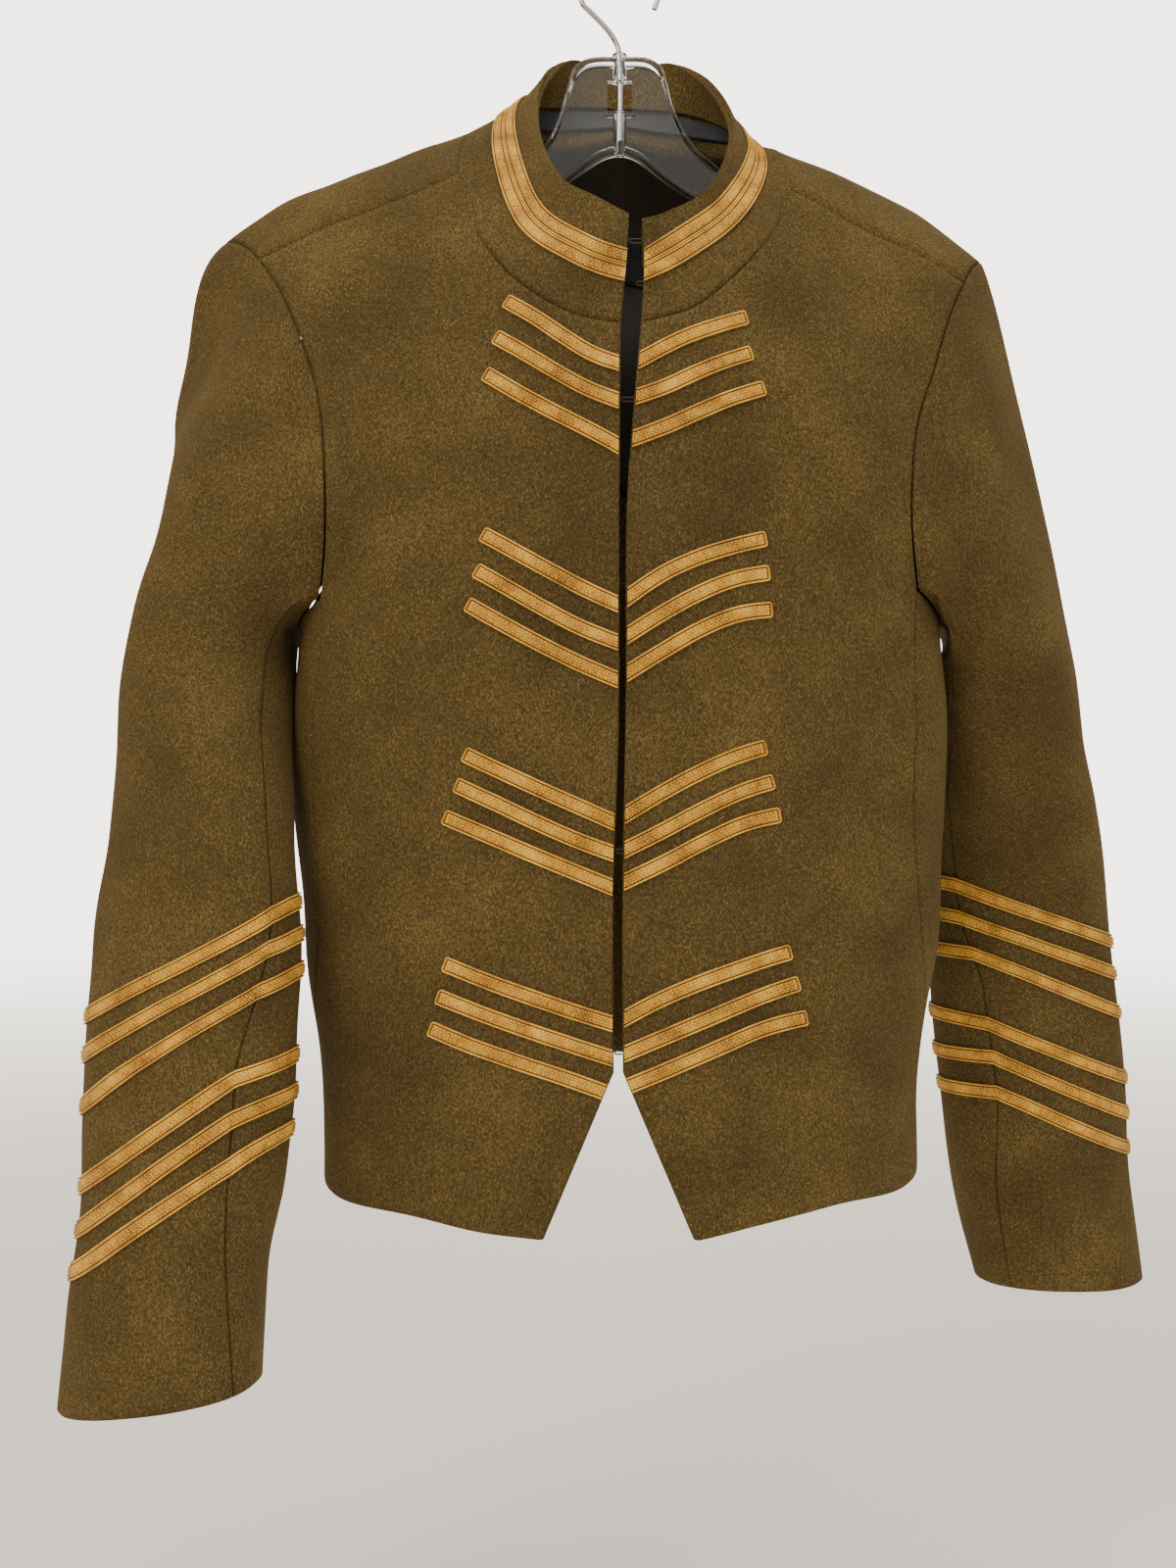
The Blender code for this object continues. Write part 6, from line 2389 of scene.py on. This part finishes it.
@dataclass
class Hanger:
    """Clear moulded hanger with its wire hook."""

    finishes: Finishes
    plate: float = 3.0 * MM
    rim: float = 3.2 * MM
    window_half: float = 7.2 * MM
    window_low: float = -93 * MM
    window_high: float = -75.5 * MM
    window_frame: float = 2.6 * MM
    window_frame_depth: float = 0.9
    window_cut: float = 10 * MM
    boss: float = 4.2 * MM
    bore: float = 2.1 * MM
    hook_radius: float = 23 * MM
    hook_wire: float = 1.6 * MM
    hook_degrees: tuple[float, float] = (200, -28)
    hook_leg: tuple = ((0, -110), (0, -62), (-1.2, -54), (-5, -47), (-11, -40), (-18, -33))
    stations: int = 150
    boss_span: tuple = (-118 * MM, -59 * MM)
    bore_span: tuple = (-111 * MM, -40 * MM)

    def profile(self, low: Array, high: Array) -> Array:
        """Section between the two edges: a thin plate with a round rim at each.

        Args:
            low: Lower edge, X and Z.
            high: Upper edge, X and Z.

        Returns:
            Points of the section.
        """
        length = np.linalg.norm(high - low)
        up = (high - low) / length
        join = math.asin(self.plate / 2 / self.rim)
        turns = np.linspace(join, 2 * math.pi - join, 16)
        end_low = np.stack([self.rim * np.cos(turns) + self.rim, self.rim * np.sin(turns)], axis=1)
        end_high = np.stack([length - end_low[::-1, 0], end_low[::-1, 1]], axis=1)
        line = np.concatenate([end_low, end_high])
        return np.stack([low[0] + up[0] * line[:, 0], line[:, 1], low[1] + up[1] * line[:, 0]], axis=1)

    def solid(self, name: str, rings: Array) -> bpy.types.Object:
        """A closed solid through rings of the same count.

        Args:
            name: Its name.
            rings: The rings, each of the same count.

        Returns:
            The piece.
        """
        rings = np.asarray(rings)
        count, size = rings.shape[:2]
        quads = cells(count, size, wrap=True).tolist()
        caps = [list(range(size))[::-1], [(count - 1) * size + k for k in range(size)]]
        return new_piece(name, rings.reshape(-1, 3), quads + caps, self.finishes.plastic, smooth_angle=40)

    def prism(
        self, name: str, outline: Sequence[tuple[float, float]], low: float, high: float
    ) -> bpy.types.Object:
        """An upright prism on an X-Y outline.

        Args:
            name: Its name.
            outline: X and Y of its corners.
            low: Lower end.
            high: Upper end.

        Returns:
            The piece.
        """
        return self.solid(name, [[(x, y, z) for x, y in outline] for z in (low, high)])

    def body(self) -> bpy.types.Object:
        """Clear body with its window, boss and bore.

        Returns:
            The piece.
        """
        sections = np.concatenate([np.array(HANGER_LEFT[:0:-1], float), np.array(HANGER_RIGHT, float)]) * MM
        sections = along(sections, self.stations)
        body = self.solid("clear_hanger", [self.profile(row[:2], row[2:]) for row in sections])
        turns = np.arange(40) * math.pi / 20
        square = ((-1, -1), (1, -1), (1, 1), (-1, 1))
        wide, deep = self.window_half + self.window_frame, self.plate * self.window_frame_depth
        frame_box = self.prism(
            "window_frame",
            [(x * wide, y * deep) for x, y in square],
            self.window_low - self.window_frame,
            self.window_high + self.window_frame,
        )
        window = self.prism(
            "window",
            [(x * self.window_half, y * self.window_cut) for x, y in square],
            self.window_low,
            self.window_high,
        )
        boss, bore = (
            self.prism(name, [(radius * math.cos(t), radius * math.sin(t)) for t in turns], *span)
            for name, radius, span in (
                ("boss", self.boss, self.boss_span),
                ("bore", self.bore, self.bore_span),
            )
        )
        steps = ((frame_box, "UNION"), (boss, "UNION"), (window, "DIFFERENCE"), (bore, "DIFFERENCE"))
        for other, operation in steps:
            modifier = body.modifiers.new(other.name, "BOOLEAN")
            modifier.operation = operation
            modifier.solver = "EXACT"
            modifier.object = other
        bpy.context.view_layer.update()
        mesh = bpy.data.meshes.new_from_object(body.evaluated_get(bpy.context.evaluated_depsgraph_get()))
        body.modifiers.clear()
        body.data = mesh
        for other, _ in steps:
            bpy.data.objects.remove(other, do_unlink=True)
        mesh.shade_smooth()
        mesh.set_sharp_from_angle(angle=math.radians(35))
        return dress(body, "clear_plastic", "hanger_body")

    def hook(self) -> bpy.types.Object:
        """Wire hook from the bore to its open end.

        Returns:
            The piece.
        """
        turns = np.radians(np.linspace(*self.hook_degrees, 60))
        centre = self.hook_wire - self.hook_radius
        loop = [(self.hook_radius * math.cos(t), centre + self.hook_radius * math.sin(t)) for t in turns]
        leg = [(x * MM, z * MM) for x, z in self.hook_leg]
        path = along(np.array(leg + loop[::6] + [loop[-1]]), 150)
        points = np.stack([path[:, 0], np.zeros(len(path)), path[:, 1]], axis=1)
        obj = wire("bright_hook", points, self.hook_wire, self.finishes.hook)
        return dress(obj, "hook_steel", "hanger_hook")

    def build(self) -> list[bpy.types.Object]:
        """Build the hanger and its hook.

        Returns:
            The pieces.
        """
        return [self.body(), self.hook()]


def wire(
    name: str, points: Array, radius: float, finish: bpy.types.Material, sides: int = 16
) -> bpy.types.Object:
    """A round wire along points, closed at both ends.

    Args:
        name: Name of the piece.
        points: The wire's middle line.
        radius: Half its thickness.
        finish: Its material.
        sides: Faces round the wire.

    Returns:
        The object.
    """
    ahead = unit(np.gradient(points, axis=0))
    side = unit(np.cross(ahead, np.broadcast_to((0.0, 1.0, 0.0), ahead.shape)))
    up = np.cross(side, ahead)
    turns = np.arange(sides) * 2 * math.pi / sides
    rings = points[:, None] + radius * (
        np.cos(turns)[None, :, None] * side[:, None] + np.sin(turns)[None, :, None] * up[:, None]
    )
    quads = cells(len(points), sides, wrap=True).tolist()
    caps = [list(range(sides))[::-1], [(len(points) - 1) * sides + k for k in range(sides)]]
    return new_piece(name, rings.reshape(-1, 3), quads + caps, finish, smooth_angle=60)


class Studio:
    """Pale floor, soft lights and the camera at the photo's angle."""

    floor_z: float = -1.05
    camera_place: tuple = (-0.0186, -1.035, -0.4887)
    focal_px: float = 1792.0
    sensor_mm: float = 24
    frame_px: tuple = (1200, 1600)
    backdrop: float = 4.6
    backdrop_light: float = 0.9
    backdrop_colour: str = "#fbf3e9"
    floor_half: float = 30.0
    fade: tuple = (1.2, 6.0)
    aim: tuple = (0, 0, -0.42)
    # Columns: name, place, size, power, colour.
    lights: tuple = (
        ("key", (-1.3, -1.9, 1.1), 1.3, 30, "#fff4e6"),
        ("fill", (1.8, -1.7, 0.1), 1.8, 8, "#f6f7ff"),
        ("top", (0.1, -0.4, 1.7), 1.2, 20, "#fff8ee"),
        ("behind", (0.6, 2.2, 0.9), 1.6, 14, "#ffffff"),
    )

    def camera(self) -> None:
        """Camera in front of the jacket."""
        data = bpy.data.cameras.new("camera")
        data.sensor_fit = "VERTICAL"
        data.sensor_height = self.sensor_mm
        data.lens = self.sensor_mm * self.focal_px / self.frame_px[1]
        obj = bpy.data.objects.new("camera", data)
        obj.location = self.camera_place
        obj.rotation_euler = (math.pi / 2, 0, 0)
        bpy.context.scene.collection.objects.link(obj)
        bpy.context.scene.camera = obj

    def light(self, name: str, place: tuple, size: float, power: float, colour: str) -> None:
        """A soft area light aimed at the jacket.

        Args:
            name: Its name.
            place: Where it stands.
            size: Its width, in metres.
            power: Its power, in watts.
            colour: Its colour as #rrggbb.
        """
        data = bpy.data.lights.new(name, "AREA")
        data.shape = "DISK"
        data.size = size
        data.energy = power
        data.color = linear(colour)[:3]
        obj = bpy.data.objects.new(name, data)
        away = np.array(place) - np.array(self.aim)
        flat = math.hypot(away[0], away[1])
        obj.location = place
        obj.rotation_euler = (math.atan2(flat, away[2]), 0, math.atan2(away[0], -away[1]))
        bpy.context.scene.collection.objects.link(obj)

    def build(self) -> None:
        """Build the studio."""
        self.camera()
        finish, tree, shader = new_material("pale_floor")
        # Far off the floor fades into the backdrop's own light, so that no horizon shows.
        place = add_node(tree, "ShaderNodeTexCoord").outputs["Object"]
        away = add_node(tree, "ShaderNodeVectorMath", {0: place}, operation="LENGTH")
        fade = add_node(
            tree,
            "ShaderNodeMapRange",
            {"Value": away.outputs["Value"], "From Min": self.fade[0], "From Max": self.fade[1]},
            interpolation_type="SMOOTHSTEP",
        )
        tint = ramp(tree, fade.outputs[0], ((0.0, "#fbf6ee"), (1.0, "#000000")))
        tree.links.new(tint, shader.inputs["Base Color"])
        path = add_node(tree, "ShaderNodeLightPath")
        seen = math_node(tree, "MULTIPLY", fade.outputs[0], path.outputs["Is Camera Ray"])
        glow = math_node(tree, "MULTIPLY", seen, self.backdrop)
        shader.inputs["Emission Color"].default_value = linear(self.backdrop_colour)
        finish.cycles.emission_sampling = "NONE"
        tree.links.new(glow, shader.inputs["Emission Strength"])
        shader.inputs["Roughness"].default_value = 0.9
        square = ((-1, -1), (1, -1), (1, 1), (-1, 1))
        corners = [(x * self.floor_half, y * self.floor_half, self.floor_z) for x, y in square]
        new_piece("floor", np.array(corners), [[0, 1, 2, 3]], finish)
        for row in self.lights:
            self.light(*row)
        world = bpy.data.worlds.new("studio")
        world.use_nodes = True
        back = world.node_tree.nodes["Background"]
        back.inputs["Color"].default_value = linear(self.backdrop_colour)
        # The backdrop is seen brighter than the light it gives, as when it has lamps of its own.
        path = add_node(world.node_tree, "ShaderNodeLightPath")
        level = add_node(
            world.node_tree,
            "ShaderNodeMapRange",
            {"Value": path.outputs["Is Camera Ray"], "To Min": self.backdrop_light, "To Max": self.backdrop},
        )
        world.node_tree.links.new(level.outputs[0], back.inputs["Strength"])
        bpy.context.scene.world = world


def main() -> None:
    """Build the dressed jacket."""
    logging.basicConfig(level=logging.INFO, format="%(name)s: %(message)s")
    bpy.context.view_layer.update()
    Studio().build()
    finishes = Finishes()
    for assembly in (Hanger(finishes), Fronts(finishes), Backs(finishes), Sleeves(finishes), Neck(finishes)):
        for piece in assembly.build():
            LOG.info("%s: %d faces", piece.name, len(piece.data.polygons))
    for node in FASTENERS:
        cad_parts[node].material_slots[0].material = finishes.fastener


if __name__ == "__main__":
    main()
